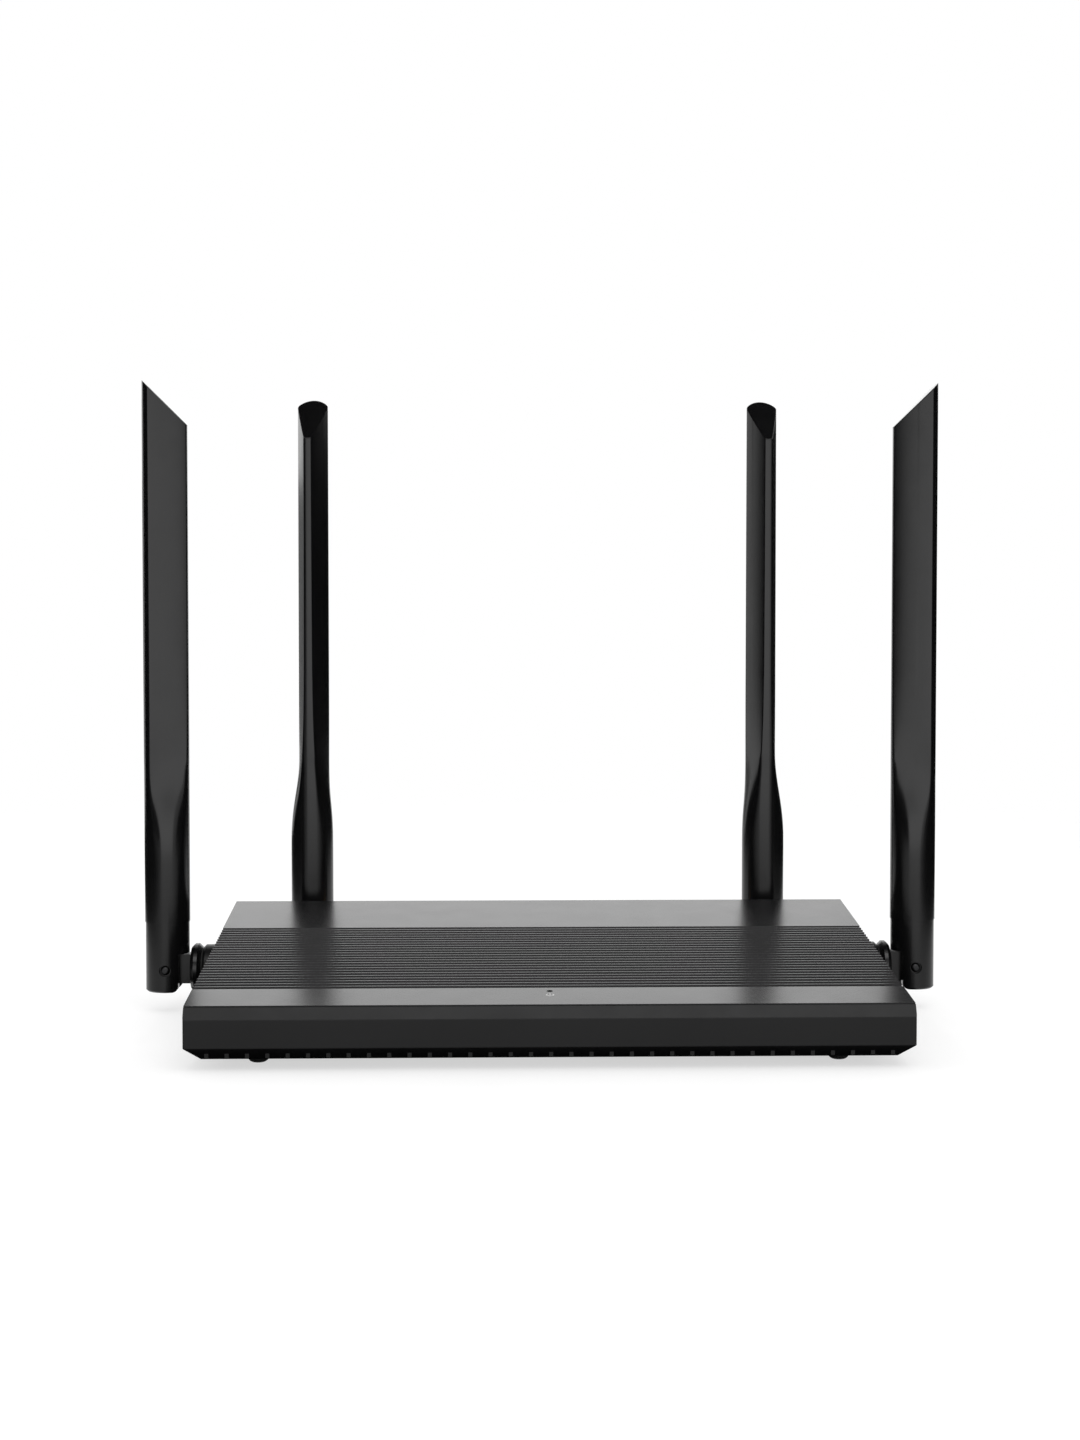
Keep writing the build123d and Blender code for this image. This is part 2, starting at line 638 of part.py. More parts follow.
def power_jack_pin():
    """Centre pin of the power inlet, with a rounded tip."""
    root = REAR_Y - JACK_RECESS - POWER_BORE_DEPTH
    pin = rod_y(POWER_PIN_RADIUS, root, REAR_Y - JACK_RECESS - 1, POWER_X, POWER_BORE_Z)
    return fillet(pin.edges().sort_by(Axis.Y)[-1], POWER_PIN_RADIUS / 2)


def push_button():
    """Button that pokes through the rear wall, held by a collar, with a plunger into its switch."""
    cap = rod_y(BUTTON_RADIUS, BUTTON_COLLAR_BACK, REAR_Y + BUTTON_REACH, BUTTON_X, BUTTON_Z)
    cap = fillet(cap.edges().sort_by(Axis.Y)[-1], EDGE_ROUND)
    collar_front = BUTTON_COLLAR_BACK + BUTTON_COLLAR_THICKNESS
    collar = rod_y(BUTTON_COLLAR, BUTTON_COLLAR_BACK, collar_front, BUTTON_X, BUTTON_Z)
    tip = SWITCH_FACE - PLUNGER_GRIP
    return cap + collar + rod_y(PLUNGER_RADIUS, tip, BUTTON_COLLAR_BACK, BUTTON_X, BUTTON_Z)


def button_switch():
    """Switch on the board that the button's plunger works."""
    half = SWITCH_WIDTH / 2
    back = SWITCH_FACE - SWITCH_DEPTH
    body = block(BUTTON_X - half, BUTTON_X + half, back, SWITCH_FACE, BOARD_TOP, BOARD_TOP + SWITCH_HEIGHT)
    end = SWITCH_FACE - PLUNGER_GRIP - BUTTON_TRAVEL - SWING
    return body - rod_y(PLUNGER_RADIUS + RUNNING, end, SWITCH_FACE + 1, BUTTON_X, BUTTON_Z)


def status_led():
    """Small light source on the board, below the light pipe."""
    half = LED_SIZE / 2
    return block(-half, half, LIGHT_Y - half, LIGHT_Y + half, BOARD_TOP, BOARD_TOP + LED_HEIGHT)


def light_pipe():
    """Clear rod from above the status light to just below the top of the cover."""
    bottom = BOARD_TOP + LED_HEIGHT + SWING
    pipe = rod_z(PIPE_RADIUS, bottom, top_z(REAR_Y), 0, LIGHT_Y)
    front = LIGHT_Y - BOARD_SETBACK
    rear = LIGHT_Y + BOARD_SETBACK
    ends = [(front, 0), (front, top_z(front, PIPE_RECESS)), (rear, top_z(rear, PIPE_RECESS)), (rear, 0)]
    collar_top = under_z(LIGHT_Y - PIPE_COLLAR)
    collar = rod_z(PIPE_COLLAR, collar_top - PIPE_RADIUS, collar_top, 0, LIGHT_Y)
    return (pipe & side_prism(ends, PIPE_COLLAR)) + collar


def chip(x, y, width, depth, height):
    """Flat box that stands on the board, by its centre."""
    return block(x - width / 2, x + width / 2, y - depth / 2, y + depth / 2, BOARD_TOP, BOARD_TOP + height)


def processor_chip():
    """Main processor."""
    return chip(0, PROCESSOR_Y, PROCESSOR_SIZE, PROCESSOR_SIZE, PROCESSOR_HEIGHT)


def heat_sink():
    """Finned heat sink on the processor."""
    half = SINK_SIZE / 2
    bottom = BOARD_TOP + PROCESSOR_HEIGHT
    sink = block(-half, half, PROCESSOR_Y - half, PROCESSOR_Y + half, bottom, bottom + SINK_HEIGHT)
    pitch = (SINK_SIZE - FIN_THICKNESS) / (FIN_COUNT - 1)
    gaps = []
    for i in range(FIN_COUNT - 1):
        x = -half + FIN_THICKNESS + pitch * i
        end = x + pitch - FIN_THICKNESS
        floor = bottom + SINK_BASE
        gaps.append(block(x, end, PROCESSOR_Y - SINK_SIZE, PROCESSOR_Y + SINK_SIZE, floor, top_z(REAR_Y)))
    return sink - gaps


def memory_chips():
    """Two memory chips in front of the processor."""
    xs = (-MEMORY_X, MEMORY_X)
    return Compound([chip(x, MEMORY_Y, MEMORY_WIDTH, MEMORY_DEPTH, MEMORY_HEIGHT) for x in xs])


def radio_shields():
    """Two tinned covers over the radio circuits."""
    xs = (-SHIELD_X, SHIELD_X)
    return Compound([chip(x, PROCESSOR_Y, SHIELD_WIDTH, SHIELD_DEPTH, SHIELD_HEIGHT) for x in xs])


def line_transformers():
    """Transformer blocks behind the network jacks."""
    pitch = TRANSFORMER_SPREAD / (TRANSFORMER_COUNT - 1)
    xs = [WAN_X - pitch * i for i in range(TRANSFORMER_COUNT)]
    size = (TRANSFORMER_WIDTH, TRANSFORMER_DEPTH, TRANSFORMER_HEIGHT)
    return Compound([chip(x, TRANSFORMER_Y, *size) for x in xs])


def capacitors():
    """Round capacitors of the power supply."""
    top = BOARD_TOP + CAPACITOR_HEIGHT
    xs = [BUTTON_X + CAPACITOR_PITCH * i for i in range(CAPACITOR_COUNT)]
    return Compound([rod_z(CAPACITOR_RADIUS, BOARD_TOP, top, x, TRANSFORMER_Y) for x in xs])


def socket_places():
    """Outer ends of the four coax sockets, as a side and a station along the depth."""
    return [(side, y) for side in (-1, 1) for y in (SIDE_SOCKET_Y, REAR_SOCKET_Y)]


def coax_sockets():
    """Four small sockets near the board's side edges."""
    height = HINGE_HEIGHT + COAX_RADIUS + SLIP - BOARD_TOP
    x = SOCKET_LANDING - SOCKET_SIZE / 2
    return Compound([chip(side * x, y, SOCKET_SIZE, SOCKET_SIZE, height) for side, y in socket_places()])


def coax_run(points):
    """One coax lead along a path at the height of the hinges."""
    path = FilletPolyline(*[(x, y, HINGE_HEIGHT) for x, y in points], radius=COAX_BEND)
    profile = Plane(path @ 0, z_dir=path % 0) * Circle(COAX_RADIUS)
    return sweep(profile, path=path)


def coax_pigtails():
    """Leads from the board's sockets into the knuckles, along each swivel axis."""
    leads = []
    for side in (-1, 1):
        landing = side * SOCKET_LANDING
        turn = landing + side * COAX_TAIL
        start = (side * (HALF_WIDTH + FLANGE_BACK), SIDE_HINGE_Y)
        bend = (side * (HALF_WIDTH - COAX_LEAD), SIDE_HINGE_Y)
        leads.append(coax_run([start, bend, (turn, SIDE_SOCKET_Y), (landing, SIDE_SOCKET_Y)]))
        x = side * REAR_HINGE_X
        start = (x, REAR_Y + FLANGE_BACK)
        bend = (x, REAR_Y - COAX_LEAD + COAX_TAIL)
        leads.append(coax_run([start, bend, (turn, REAR_SOCKET_Y), (landing, REAR_SOCKET_Y)]))
    return Compound(leads)


def knuckle():
    """Swivelling knuckle: shank through the wall, bevelled flange and flat tongue."""
    flange = rod_x(FLANGE_RADIUS, FLANGE_BACK, FLANGE_FACE)
    flange = chamfer(flange.edges().filter_by(GeomType.CIRCLE), FLANGE_BEVEL)
    shank = rod_x(SHANK_RADIUS, CLIP_INNER - SHANK_END, FLANGE_FACE)
    seat = rod_x(2 * SHANK_RADIUS, CLIP_INNER - SNUG, CLIP_OUTER + SNUG)
    seat = seat - rod_x(CLIP_SEAT, CLIP_INNER - 1, CLIP_OUTER + 1)
    half = TONGUE_THICKNESS / 2
    tongue = block(FLANGE_FACE - 1, HINGE_OFFSET, -half, half, -TONGUE_RADIUS, TONGUE_RADIUS)
    tongue = tongue + rod_y(TONGUE_RADIUS, -half, half, HINGE_OFFSET)
    bore = rod_x(COAX_BORE, -BODY_WIDTH, FLANGE_FACE)
    eye = rod_y(PIN_RADIUS + RUNNING, -YOKE_RADIUS, YOKE_RADIUS, HINGE_OFFSET)
    return flange + shank + tongue - seat - bore - eye


def friction_washer():
    """Washer between a boss and a flange that holds the swivel where it is left."""
    hole = rod_x(SHANK_RADIUS + RUNNING, 0, FLANGE_FACE)
    return rod_x(WASHER_RADIUS, BOSS_LENGTH + SNUG, FLANGE_BACK - SNUG) - hole


def retaining_clip():
    """Open clip in the groove of a shank, with a tab that meets the stop on the wall."""
    half = CLIP_TAB_WIDTH / 2
    ring = rod_x(CLIP_RADIUS, CLIP_INNER, CLIP_OUTER)
    tab = block(CLIP_INNER, CLIP_OUTER, -half, half, CLIP_SEAT + 1, CLIP_RADIUS + CLIP_TAB_REACH - SLIP)
    mouth = CLIP_SEAT * 0.85
    opening = block(CLIP_INNER - 1, CLIP_OUTER + 1, -mouth, mouth, -2 * CLIP_RADIUS, 0)
    return ring + tab - rod_x(CLIP_SEAT + SNUG, CLIP_INNER - 1, CLIP_OUTER + 1) - opening


def hinge_pin():
    """Pin of the tilt hinge, domed at both ends."""
    end = YOKE_RADIUS - PIN_SINK
    pin = rod_y(PIN_RADIUS, -end, end, HINGE_OFFSET)
    return fillet(pin.edges().filter_by(GeomType.CIRCLE), PIN_DOME)


def yoke():
    """Foot of an antenna: two cheeks round the tongue, and a spigot up into the sleeve."""
    x = HINGE_OFFSET
    body = rod_z(YOKE_RADIUS, -YOKE_BELOW, SEAM_HEIGHT, x)
    body = chamfer(body.edges().sort_by(Axis.Z)[0], YOKE_BEVEL)
    body = body + rod_z(SPIGOT_RADIUS, SEAM_HEIGHT, SEAM_HEIGHT + SPIGOT_LENGTH, x)
    reach = 2 * YOKE_RADIUS
    half = SLOT_WIDTH / 2
    slot = rod_y(SLOT_RADIUS, -half, half, x) + block(x - reach, x, -half, half, -reach, SLOT_RADIUS)
    slot = slot + block(x - reach, x + SLOT_RADIUS, -half, half, -reach, 0)
    notch = block(x - reach, x - YOKE_NOTCH, -reach, reach, -reach, SLOT_RADIUS)
    round_x = x - YOKE_NOTCH + YOKE_CORNER
    round_z = YOKE_CORNER - YOKE_BELOW
    corner = block(x - reach, round_x, -reach, reach, -reach, round_z)
    corner = corner - rod_y(YOKE_CORNER, -reach, reach, round_x, round_z)
    holes = rod_y(PIN_RADIUS + SNUG, -reach, reach, x) + rod_z(COAX_BORE, 0, reach + SPIGOT_LENGTH, x)
    rim = YOKE_RADIUS - PIN_SINK - PIN_DOME
    rims = rod_y(PIN_RADIUS + PIN_RIM, rim, reach, x) + rod_y(PIN_RADIUS + PIN_RIM, -reach, -rim, x)
    return body - slot - notch - corner - holes - rims


def sleeve_flat(side):
    """Cutter for one flat side of a sleeve, running out into the round foot along an arc."""
    lean = radians(FLAT_LEAN)
    out = (-sin(lean), side * cos(lean), 0)
    across = Plane((HINGE_OFFSET, 0, 0), x_dir=out, z_dir=(side * cos(lean), sin(lean), 0))
    level = FLAT_OFFSET + FLAT_RUNOUT
    reach = 2 * SLEEVE_RADIUS
    height = 2 * TIP_HEIGHT
    angle = radians(180 + degrees(atan(reach / FLAT_RUNOUT)) * 3)
    middle = radians(180 + degrees(atan(reach / FLAT_RUNOUT)) * 1.5)
    foot = (level + FLAT_RUNOUT * cos(angle), FLAT_START + FLAT_RUNOUT * sin(angle))
    halfway = (level + FLAT_RUNOUT * cos(middle), FLAT_START + FLAT_RUNOUT * sin(middle))
    start = (FLAT_OFFSET, FLAT_START)
    arc = ThreePointArc(start, halfway, foot)
    rest = Polyline(foot, (level, foot[1]), (level, height), (FLAT_OFFSET, height), start)
    outline = make_face([arc, rest])
    return extrude(across * outline, amount=reach, both=True)


def sleeve():
    """Antenna sleeve: a round foot that turns into a wedge-shaped paddle with a slanted tip."""
    x = HINGE_OFFSET
    body = rod_z(SLEEVE_RADIUS, SEAM_HEIGHT, TIP_HEIGHT, x) - sleeve_flat(1) - sleeve_flat(-1)
    ridges = body.edges().filter_by(Axis.Z).sort_by(Axis.X)[:-1] + body.edges().filter_by(GeomType.BSPLINE)
    body = fillet(ridges, SLEEVE_RIDGE)
    fall = 2 * SLEEVE_RADIUS * sin(radians(TIP_SLANT)) / cos(radians(TIP_SLANT))
    back = x + SLEEVE_RADIUS
    front = x - SLEEVE_RADIUS
    above = TIP_HEIGHT + 0.5 * fall
    over = [(front - SLEEVE_RADIUS, TIP_HEIGHT - 1.5 * fall), (back + SLEEVE_RADIUS, above)]
    over += [(front - SLEEVE_RADIUS, above)]
    body = body - extrude(Plane.XZ * Polygon(*over, align=None), amount=2 * SLEEVE_RADIUS, both=True)
    body = fillet(body.faces().sort_by(Axis.Z)[-1].edges(), SLEEVE_BREAK)
    half = CORE_THICKNESS / 2
    core = block(x - CORE_FRONT, x + CORE_BACK, -half, half, SEAM_HEIGHT, CORE_TOP)
    return body - rod_z(SPIGOT_RADIUS + SNUG, SEAM_HEIGHT, SLEEVE_BORE_TOP, x) - core


def radiator():
    """Radiating strip inside a sleeve."""
    half = RADIATOR_THICKNESS / 2
    front = HINGE_OFFSET - CORE_FRONT + SLIP
    return block(front, HINGE_OFFSET + CORE_BACK - SLIP, -half, half, RADIATOR_BOTTOM, RADIATOR_TOP)


def fixed_parts():
    """Every piece that stays with the case, by name."""
    parts = {
        "bottom_case": bottom_case(),
        "top_cover": top_cover(),
        "rubber_feet": rubber_feet(),
        "cover_screws": cover_screws(),
        "main_board": main_board(),
        "board_screws": board_screws(),
        "wan_jack": network_jack(WAN_X),
        "jack_contacts": jack_contacts(),
        "power_jack": power_jack(),
        "power_jack_pin": power_jack_pin(),
        "button_switch": button_switch(),
        "status_led": status_led(),
        "light_pipe": light_pipe(),
        "processor_chip": processor_chip(),
        "heat_sink": heat_sink(),
        "memory_chips": memory_chips(),
        "radio_shields": radio_shields(),
        "line_transformers": line_transformers(),
        "capacitors": capacitors(),
        "coax_sockets": coax_sockets(),
        "coax_pigtails": coax_pigtails(),
    }
    for i, x in enumerate(LAN_XS):
        parts[f"lan_jack_{i + 1}"] = network_jack(x)
    return parts


def antenna_parts():
    """Every piece of one antenna, by name, drawn out of a wall along x."""
    return {
        "knuckle": knuckle(),
        "friction_washer": friction_washer(),
        "retaining_clip": retaining_clip(),
        "hinge_pin": hinge_pin(),
        "yoke": yoke(),
        "sleeve": sleeve(),
        "radiator": radiator(),
    }


def export_parts():
    """Write one file for each named piece."""
    os.makedirs("parts", exist_ok=True)
    parts = fixed_parts()
    parts["push_button"] = push_button()
    pieces = antenna_parts()
    for place_name, (place, _) in ANTENNA_PLACES.items():
        for name, shape in pieces.items():
            parts[f"{place_name}_{name}"] = place * shape
    for name, shape in parts.items():
        export_step(shape, f"parts/{name}.step")


export_parts()
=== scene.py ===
"""Looks of a low wireless router with four folding antennas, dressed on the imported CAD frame."""

import logging
import math
from collections.abc import Callable
from dataclasses import dataclass
from enum import Enum

import bmesh
import bpy
from mathutils import Matrix, Vector


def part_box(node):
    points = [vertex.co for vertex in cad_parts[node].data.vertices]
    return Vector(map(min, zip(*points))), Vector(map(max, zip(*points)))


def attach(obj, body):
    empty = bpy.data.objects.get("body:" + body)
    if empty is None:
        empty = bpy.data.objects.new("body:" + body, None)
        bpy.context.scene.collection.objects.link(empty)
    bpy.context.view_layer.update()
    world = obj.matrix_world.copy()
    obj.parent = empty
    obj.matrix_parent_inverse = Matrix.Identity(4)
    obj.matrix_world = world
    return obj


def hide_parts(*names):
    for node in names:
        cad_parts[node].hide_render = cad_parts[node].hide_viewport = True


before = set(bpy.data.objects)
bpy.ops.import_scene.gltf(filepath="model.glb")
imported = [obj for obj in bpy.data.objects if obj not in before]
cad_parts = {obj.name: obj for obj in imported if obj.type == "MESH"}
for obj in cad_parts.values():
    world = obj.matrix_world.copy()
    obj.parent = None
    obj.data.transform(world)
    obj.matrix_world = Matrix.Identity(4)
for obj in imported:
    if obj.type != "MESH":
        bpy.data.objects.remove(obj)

log = logging.getLogger("router")

# Lengths are in metres
MM = 0.001

# Points this near to a height lie on its ring, and points this near to each other are merged
TOUCH = 1e-6
MERGE = 1e-7

WHITE = (1.0, 1.0, 1.0, 1.0)
ORIGIN = (0.0, 0.0, 0.0)
HOUSING = "housing"

Colour = tuple[float, float, float]
Point = tuple[float, float, float]


class Place(Enum):
    """Where an antenna stands on the case."""

    LEFT_SIDE = "left_side"
    RIGHT_SIDE = "right_side"
    LEFT_REAR = "left_rear"
    RIGHT_REAR = "right_rear"


class Bench:
    """A material's node tree while a finish is laid out on it."""

    # How much each finer layer of a noise pattern keeps of the one before
    FALLOFF = 0.55

    # Most of a noise pattern lies between its valleys and its peaks
    VALLEY = 0.3
    PEAK = 0.7

    # Values of a noise pattern where its darkest and lightest colours start
    DARK_END = 0.32
    LIGHT_END = 0.68

    def __init__(self, name: str) -> None:
        """Starts an empty tree that ends in one principled shader.

        Args:
            name: The material's name.
        """
        self.material = bpy.data.materials.new(name)
        self.material.use_nodes = True
        self.tree = self.material.node_tree
        self.tree.nodes.clear()
        self.shader = self.add("ShaderNodeBsdfPrincipled")
        output = self.add("ShaderNodeOutputMaterial")
        self.join(self.shader, "BSDF", output, "Surface")
        self.place = self.add("ShaderNodeTexCoord")

    def add(self, kind: str, **inputs: object) -> bpy.types.Node:
        """Adds a node and fills its sockets.

        Args:
            kind: The node's type name.
            inputs: Socket values, by socket name with spaces written as underscores.

        Returns:
            The new node.
        """
        node = self.tree.nodes.new(kind)
        self.fill(node, **inputs)
        return node

    def fill(self, node: bpy.types.Node, **inputs: object) -> None:
        """Sets a node's sockets.

        Args:
            node: The node.
            inputs: Socket values, by socket name with spaces written as underscores.
        """
        for name, value in inputs.items():
            node.inputs[name.replace("_", " ")].default_value = value

    def join(self, source: bpy.types.Node, output: str, target: bpy.types.Node, socket: str) -> None:
        """Links one node's output to another node's socket."""
        self.tree.links.new(source.outputs[output], target.inputs[socket])

    def noise(self, size: float, detail: float = 3.0, stretch: Point = (1.0, 1.0, 1.0)) -> bpy.types.Node:
        """Adds a noise pattern on object coordinates.

        Args:
            size: Width of one grain in metres.
            detail: Number of finer layers.
            stretch: How much finer the grain is along each axis.

        Returns:
            The noise node.
        """
        scale = self.add("ShaderNodeMapping", Scale=stretch)
        self.join(self.place, "Object", scale, "Vector")
        grain = self.add("ShaderNodeTexNoise", Scale=1.0 / size, Detail=detail, Roughness=self.FALLOFF)
        self.join(scale, "Vector", grain, "Vector")
        return grain

    def tint(self, pattern: bpy.types.Node, dark: Colour, light: Colour) -> None:
        """Colours the surface by the middle of a noise pattern.

        Args:
            pattern: A noise node.
            dark: Colour in the pattern's valleys.
            light: Colour on its peaks.
        """
        ramp = self.add("ShaderNodeValToRGB")
        valley, peak = ramp.color_ramp.elements
        valley.position = self.DARK_END
        valley.color = (*dark, 1.0)
        peak.position = self.LIGHT_END
        peak.color = (*light, 1.0)
        self.join(pattern, "Fac", ramp, "Fac")
        self.join(ramp, "Color", self.shader, "Base Color")

    def roughen(self, pattern: bpy.types.Node, low: float, high: float) -> None:
        """Varies the surface's roughness by the middle of a noise pattern.

        Args:
            pattern: A noise node.
            low: Roughness in the pattern's valleys.
            high: Roughness on its peaks.
        """
        ranged = self.add(
            "ShaderNodeMapRange", From_Min=self.VALLEY, From_Max=self.PEAK, To_Min=low, To_Max=high
        )
        self.join(pattern, "Fac", ranged, "Value")
        self.join(ranged, "Result", self.shader, "Roughness")

    def bump(self, pattern: bpy.types.Node, height: float) -> None:
        """Raises the surface by a noise pattern.

        Args:
            pattern: A noise node.
            height: Height of the peaks in metres.
        """
        raised = self.add("ShaderNodeBump", Strength=1.0, Distance=height)
        self.join(pattern, "Fac", raised, "Height")
        self.join(raised, "Normal", self.shader, "Normal")


def shade(colour: Colour, factor: float) -> Colour:
    """Gives a colour made lighter or darker by a factor."""
    return tuple(min(1.0, c * factor) for c in colour)


@dataclass(frozen=True)
class Plastic:
    """Moulded plastic with a fine eroded grain, faint flow marks and handled patches."""

    name: str
    colour: Colour
    roughness: float = 0.34
    rough_spread: float = 0.05
    grain: float = 0.35 * MM
    depth: float = 0.004 * MM
    specular: float = 0.3
    mottle: float = 0.18
    flow_size: float = 22.0 * MM
    patch_size: float = 9.0 * MM

    def material(self) -> bpy.types.Material:
        """Lays out the plastic's nodes.

        Returns:
            The material.
        """
        bench = Bench(self.name)
        flow = bench.noise(self.flow_size, detail=4.0)
        bench.tint(flow, shade(self.colour, 1.0 - self.mottle), shade(self.colour, 1.0 + self.mottle))
        patches = bench.noise(self.patch_size, detail=5.0)
        bench.roughen(patches, self.roughness - self.rough_spread, self.roughness + self.rough_spread)
        bench.fill(bench.shader, Specular_IOR_Level=self.specular)
        bench.bump(bench.noise(self.grain, detail=2.0), self.depth)
        return bench.material


@dataclass(frozen=True)
class Metal:
    """Bare or plated metal with fine tool marks along one axis."""

    name: str
    colour: Colour
    roughness: float = 0.3
    marks: Point = (1.0, 1.0, 1.0)
    mark_size: float = 0.5 * MM
    mark_depth: float = 0.003 * MM
    smoother: float = 0.07
    rougher: float = 0.09
    cloud_size: float = 6.0 * MM
    darker: float = 0.88
    lighter: float = 1.06

    def material(self) -> bpy.types.Material:
        """Lays out the metal's nodes.

        Returns:
            The material.
        """
        bench = Bench(self.name)
        cloud = bench.noise(self.cloud_size, detail=4.0)
        bench.tint(cloud, shade(self.colour, self.darker), shade(self.colour, self.lighter))
        bench.fill(bench.shader, Metallic=1.0)
        lines = bench.noise(self.mark_size, stretch=self.marks)
        bench.roughen(lines, self.roughness - self.smoother, self.roughness + self.rougher)
        bench.bump(lines, self.mark_depth)
        return bench.material


@dataclass(frozen=True)
class Rubber:
    """Soft moulded rubber with a dull dusty grain."""

    name: str
    colour: Colour
    dust_size: float = 1.6 * MM
    darker: float = 0.75
    lighter: float = 1.5
    smoothest: float = 0.6
    roughest: float = 0.78
    specular: float = 0.3
    grain: float = 0.25 * MM
    depth: float = 0.012 * MM

    def material(self) -> bpy.types.Material:
        """Lays out the rubber's nodes.

        Returns:
            The material.
        """
        bench = Bench(self.name)
        dust = bench.noise(self.dust_size, detail=5.0)
        bench.tint(dust, shade(self.colour, self.darker), shade(self.colour, self.lighter))
        bench.roughen(dust, self.smoothest, self.roughest)
        bench.fill(bench.shader, Specular_IOR_Level=self.specular)
        bench.bump(bench.noise(self.grain, detail=2.0), self.depth)
        return bench.material


@dataclass(frozen=True)
class Laminate:
    """Solder resist over a glass cloth board, with the weave just showing."""

    name: str
    colour: Colour
    weave_size: float = 0.6 * MM
    weave_depth: float = 0.004 * MM
    darker: float = 0.92
    lighter: float = 1.1
    gloss_size: float = 4.0 * MM
    smoothest: float = 0.3
    roughest: float = 0.45

    def material(self) -> bpy.types.Material:
        """Lays out the board's nodes.

        Returns:
            The material.
        """
        bench = Bench(self.name)
        dark = (*shade(self.colour, self.darker), 1.0)
        light = (*shade(self.colour, self.lighter), 1.0)
        weave = bench.add("ShaderNodeTexChecker", Scale=1.0 / self.weave_size, Color1=dark, Color2=light)
        bench.join(bench.place, "Object", weave, "Vector")
        bench.join(weave, "Color", bench.shader, "Base Color")
        bench.roughen(bench.noise(self.gloss_size, detail=4.0), self.smoothest, self.roughest)
        bench.bump(bench.noise(self.weave_size, detail=1.0), self.weave_depth)
        return bench.material


@dataclass(frozen=True)
class Ink:
    """Thin printed ink, a little worn in its grain."""

    name: str
    colour: Colour
    wear_size: float = 0.4 * MM
    wear_depth: float = 0.004 * MM
    darker: float = 0.8
    lighter: float = 1.05
    smoothest: float = 0.5
    roughest: float = 0.65
    specular: float = 0.3

    def material(self) -> bpy.types.Material:
        """Lays out the ink's nodes.

        Returns:
            The material.
        """
        bench = Bench(self.name)
        wear = bench.noise(self.wear_size, detail=4.0)
        bench.tint(wear, shade(self.colour, self.darker), shade(self.colour, self.lighter))
        bench.roughen(wear, self.smoothest, self.roughest)
        bench.fill(bench.shader, Specular_IOR_Level=self.specular)
        bench.bump(wear, self.wear_depth)
        return bench.material


@dataclass(frozen=True)
class Felt:
    """Dull felt of the cards around the set, given by its tone, where 1 is white."""

    name: str
    tone: float
    fibre_size: float = 4.0 * MM
    darker: float = 0.7
    lighter: float = 1.3
    roughness: float = 0.95

    def material(self) -> bpy.types.Material:
        """Lays out the felt's nodes.

        Returns:
            The material.
        """
        bench = Bench(self.name)
        colour = (self.tone, self.tone, self.tone)
        bench.tint(bench.noise(self.fibre_size), shade(colour, self.darker), shade(colour, self.lighter))
        bench.fill(bench.shader, Roughness=self.roughness, Specular_IOR_Level=0.0)
        return bench.material


COVER = Plastic(
    "cover satin black", (0.006, 0.006, 0.0063), roughness=0.26, rough_spread=0.012, depth=0.0012 * MM
)
CASE = Plastic(
    "case fine black", (0.003, 0.003, 0.0032), roughness=0.36, rough_spread=0.03, specular=0.19
)
SLEEVE = Plastic(
    "antenna smooth black", (0.0025, 0.0025, 0.0027), roughness=0.2, rough_spread=0.02, depth=0.0015 * MM
)
HINGE = Plastic(
    "hinge black", (0.0025, 0.0025, 0.0027), roughness=0.24, rough_spread=0.03, depth=0.002 * MM
)
BUTTON = Plastic("button grey black", (0.02, 0.02, 0.021), roughness=0.42)
LAN = Plastic("lan socket yellow", (0.62, 0.36, 0.015), roughness=0.4, mottle=0.07, specular=0.5)
WAN = Plastic("wan socket blue", (0.012, 0.075, 0.36), roughness=0.4, mottle=0.08, specular=0.5)
POWER = Plastic("inlet black", (0.012, 0.012, 0.012), roughness=0.45)
CHIP = Plastic("chip epoxy", (0.02, 0.02, 0.021), roughness=0.5, grain=0.15 * MM)
LAMP = Plastic("lamp smoked", (0.006, 0.006, 0.007), roughness=0.2, depth=0.001 * MM)
JACKET = Plastic("coax jacket", (0.02, 0.02, 0.021), roughness=0.45, grain=0.6 * MM)
PIN = Metal("hinge pin blackened", (0.03, 0.03, 0.031), roughness=0.34)
SCREW = Metal("screw zinc", (0.46, 0.46, 0.48), roughness=0.28, marks=(1.0, 1.0, 0.2))
CONTACT = Metal("contact gold", (0.83, 0.61, 0.25), roughness=0.2, marks=(1.0, 0.15, 1.0))
SINK = Metal("sink aluminium", (0.62, 0.63, 0.64), roughness=0.36, marks=(0.1, 1.0, 1.0))
SHIELD = Metal("shield tinplate", (0.6, 0.6, 0.58))
FEET = Rubber("foot rubber", (0.014, 0.014, 0.014))
BOARD = Laminate("board green", (0.012, 0.09, 0.045))
PRINT = Ink("printed grey", (0.5, 0.5, 0.5))

Finish = Plastic | Metal | Rubber | Laminate | Ink

SLOT_FINISHES: dict[str, Finish] = {
    "case_plastic": CASE,
    "cover_plastic": COVER,
    "sleeve_plastic": SLEEVE,
    "hinge_plastic": HINGE,
    "pin_metal": PIN,
    "foot_rubber": FEET,
    "screw_steel": SCREW,
    "board_laminate": BOARD,
    "wan_plastic": WAN,
    "lan_plastic": LAN,
    "power_plastic": POWER,
    "contact_metal": CONTACT,
    "chip_plastic": CHIP,
    "lamp_plastic": LAMP,
    "sink_aluminium": SINK,
    "shield_tin": SHIELD,
    "coax_jacket": JACKET,
    "button_plastic": BUTTON,
}


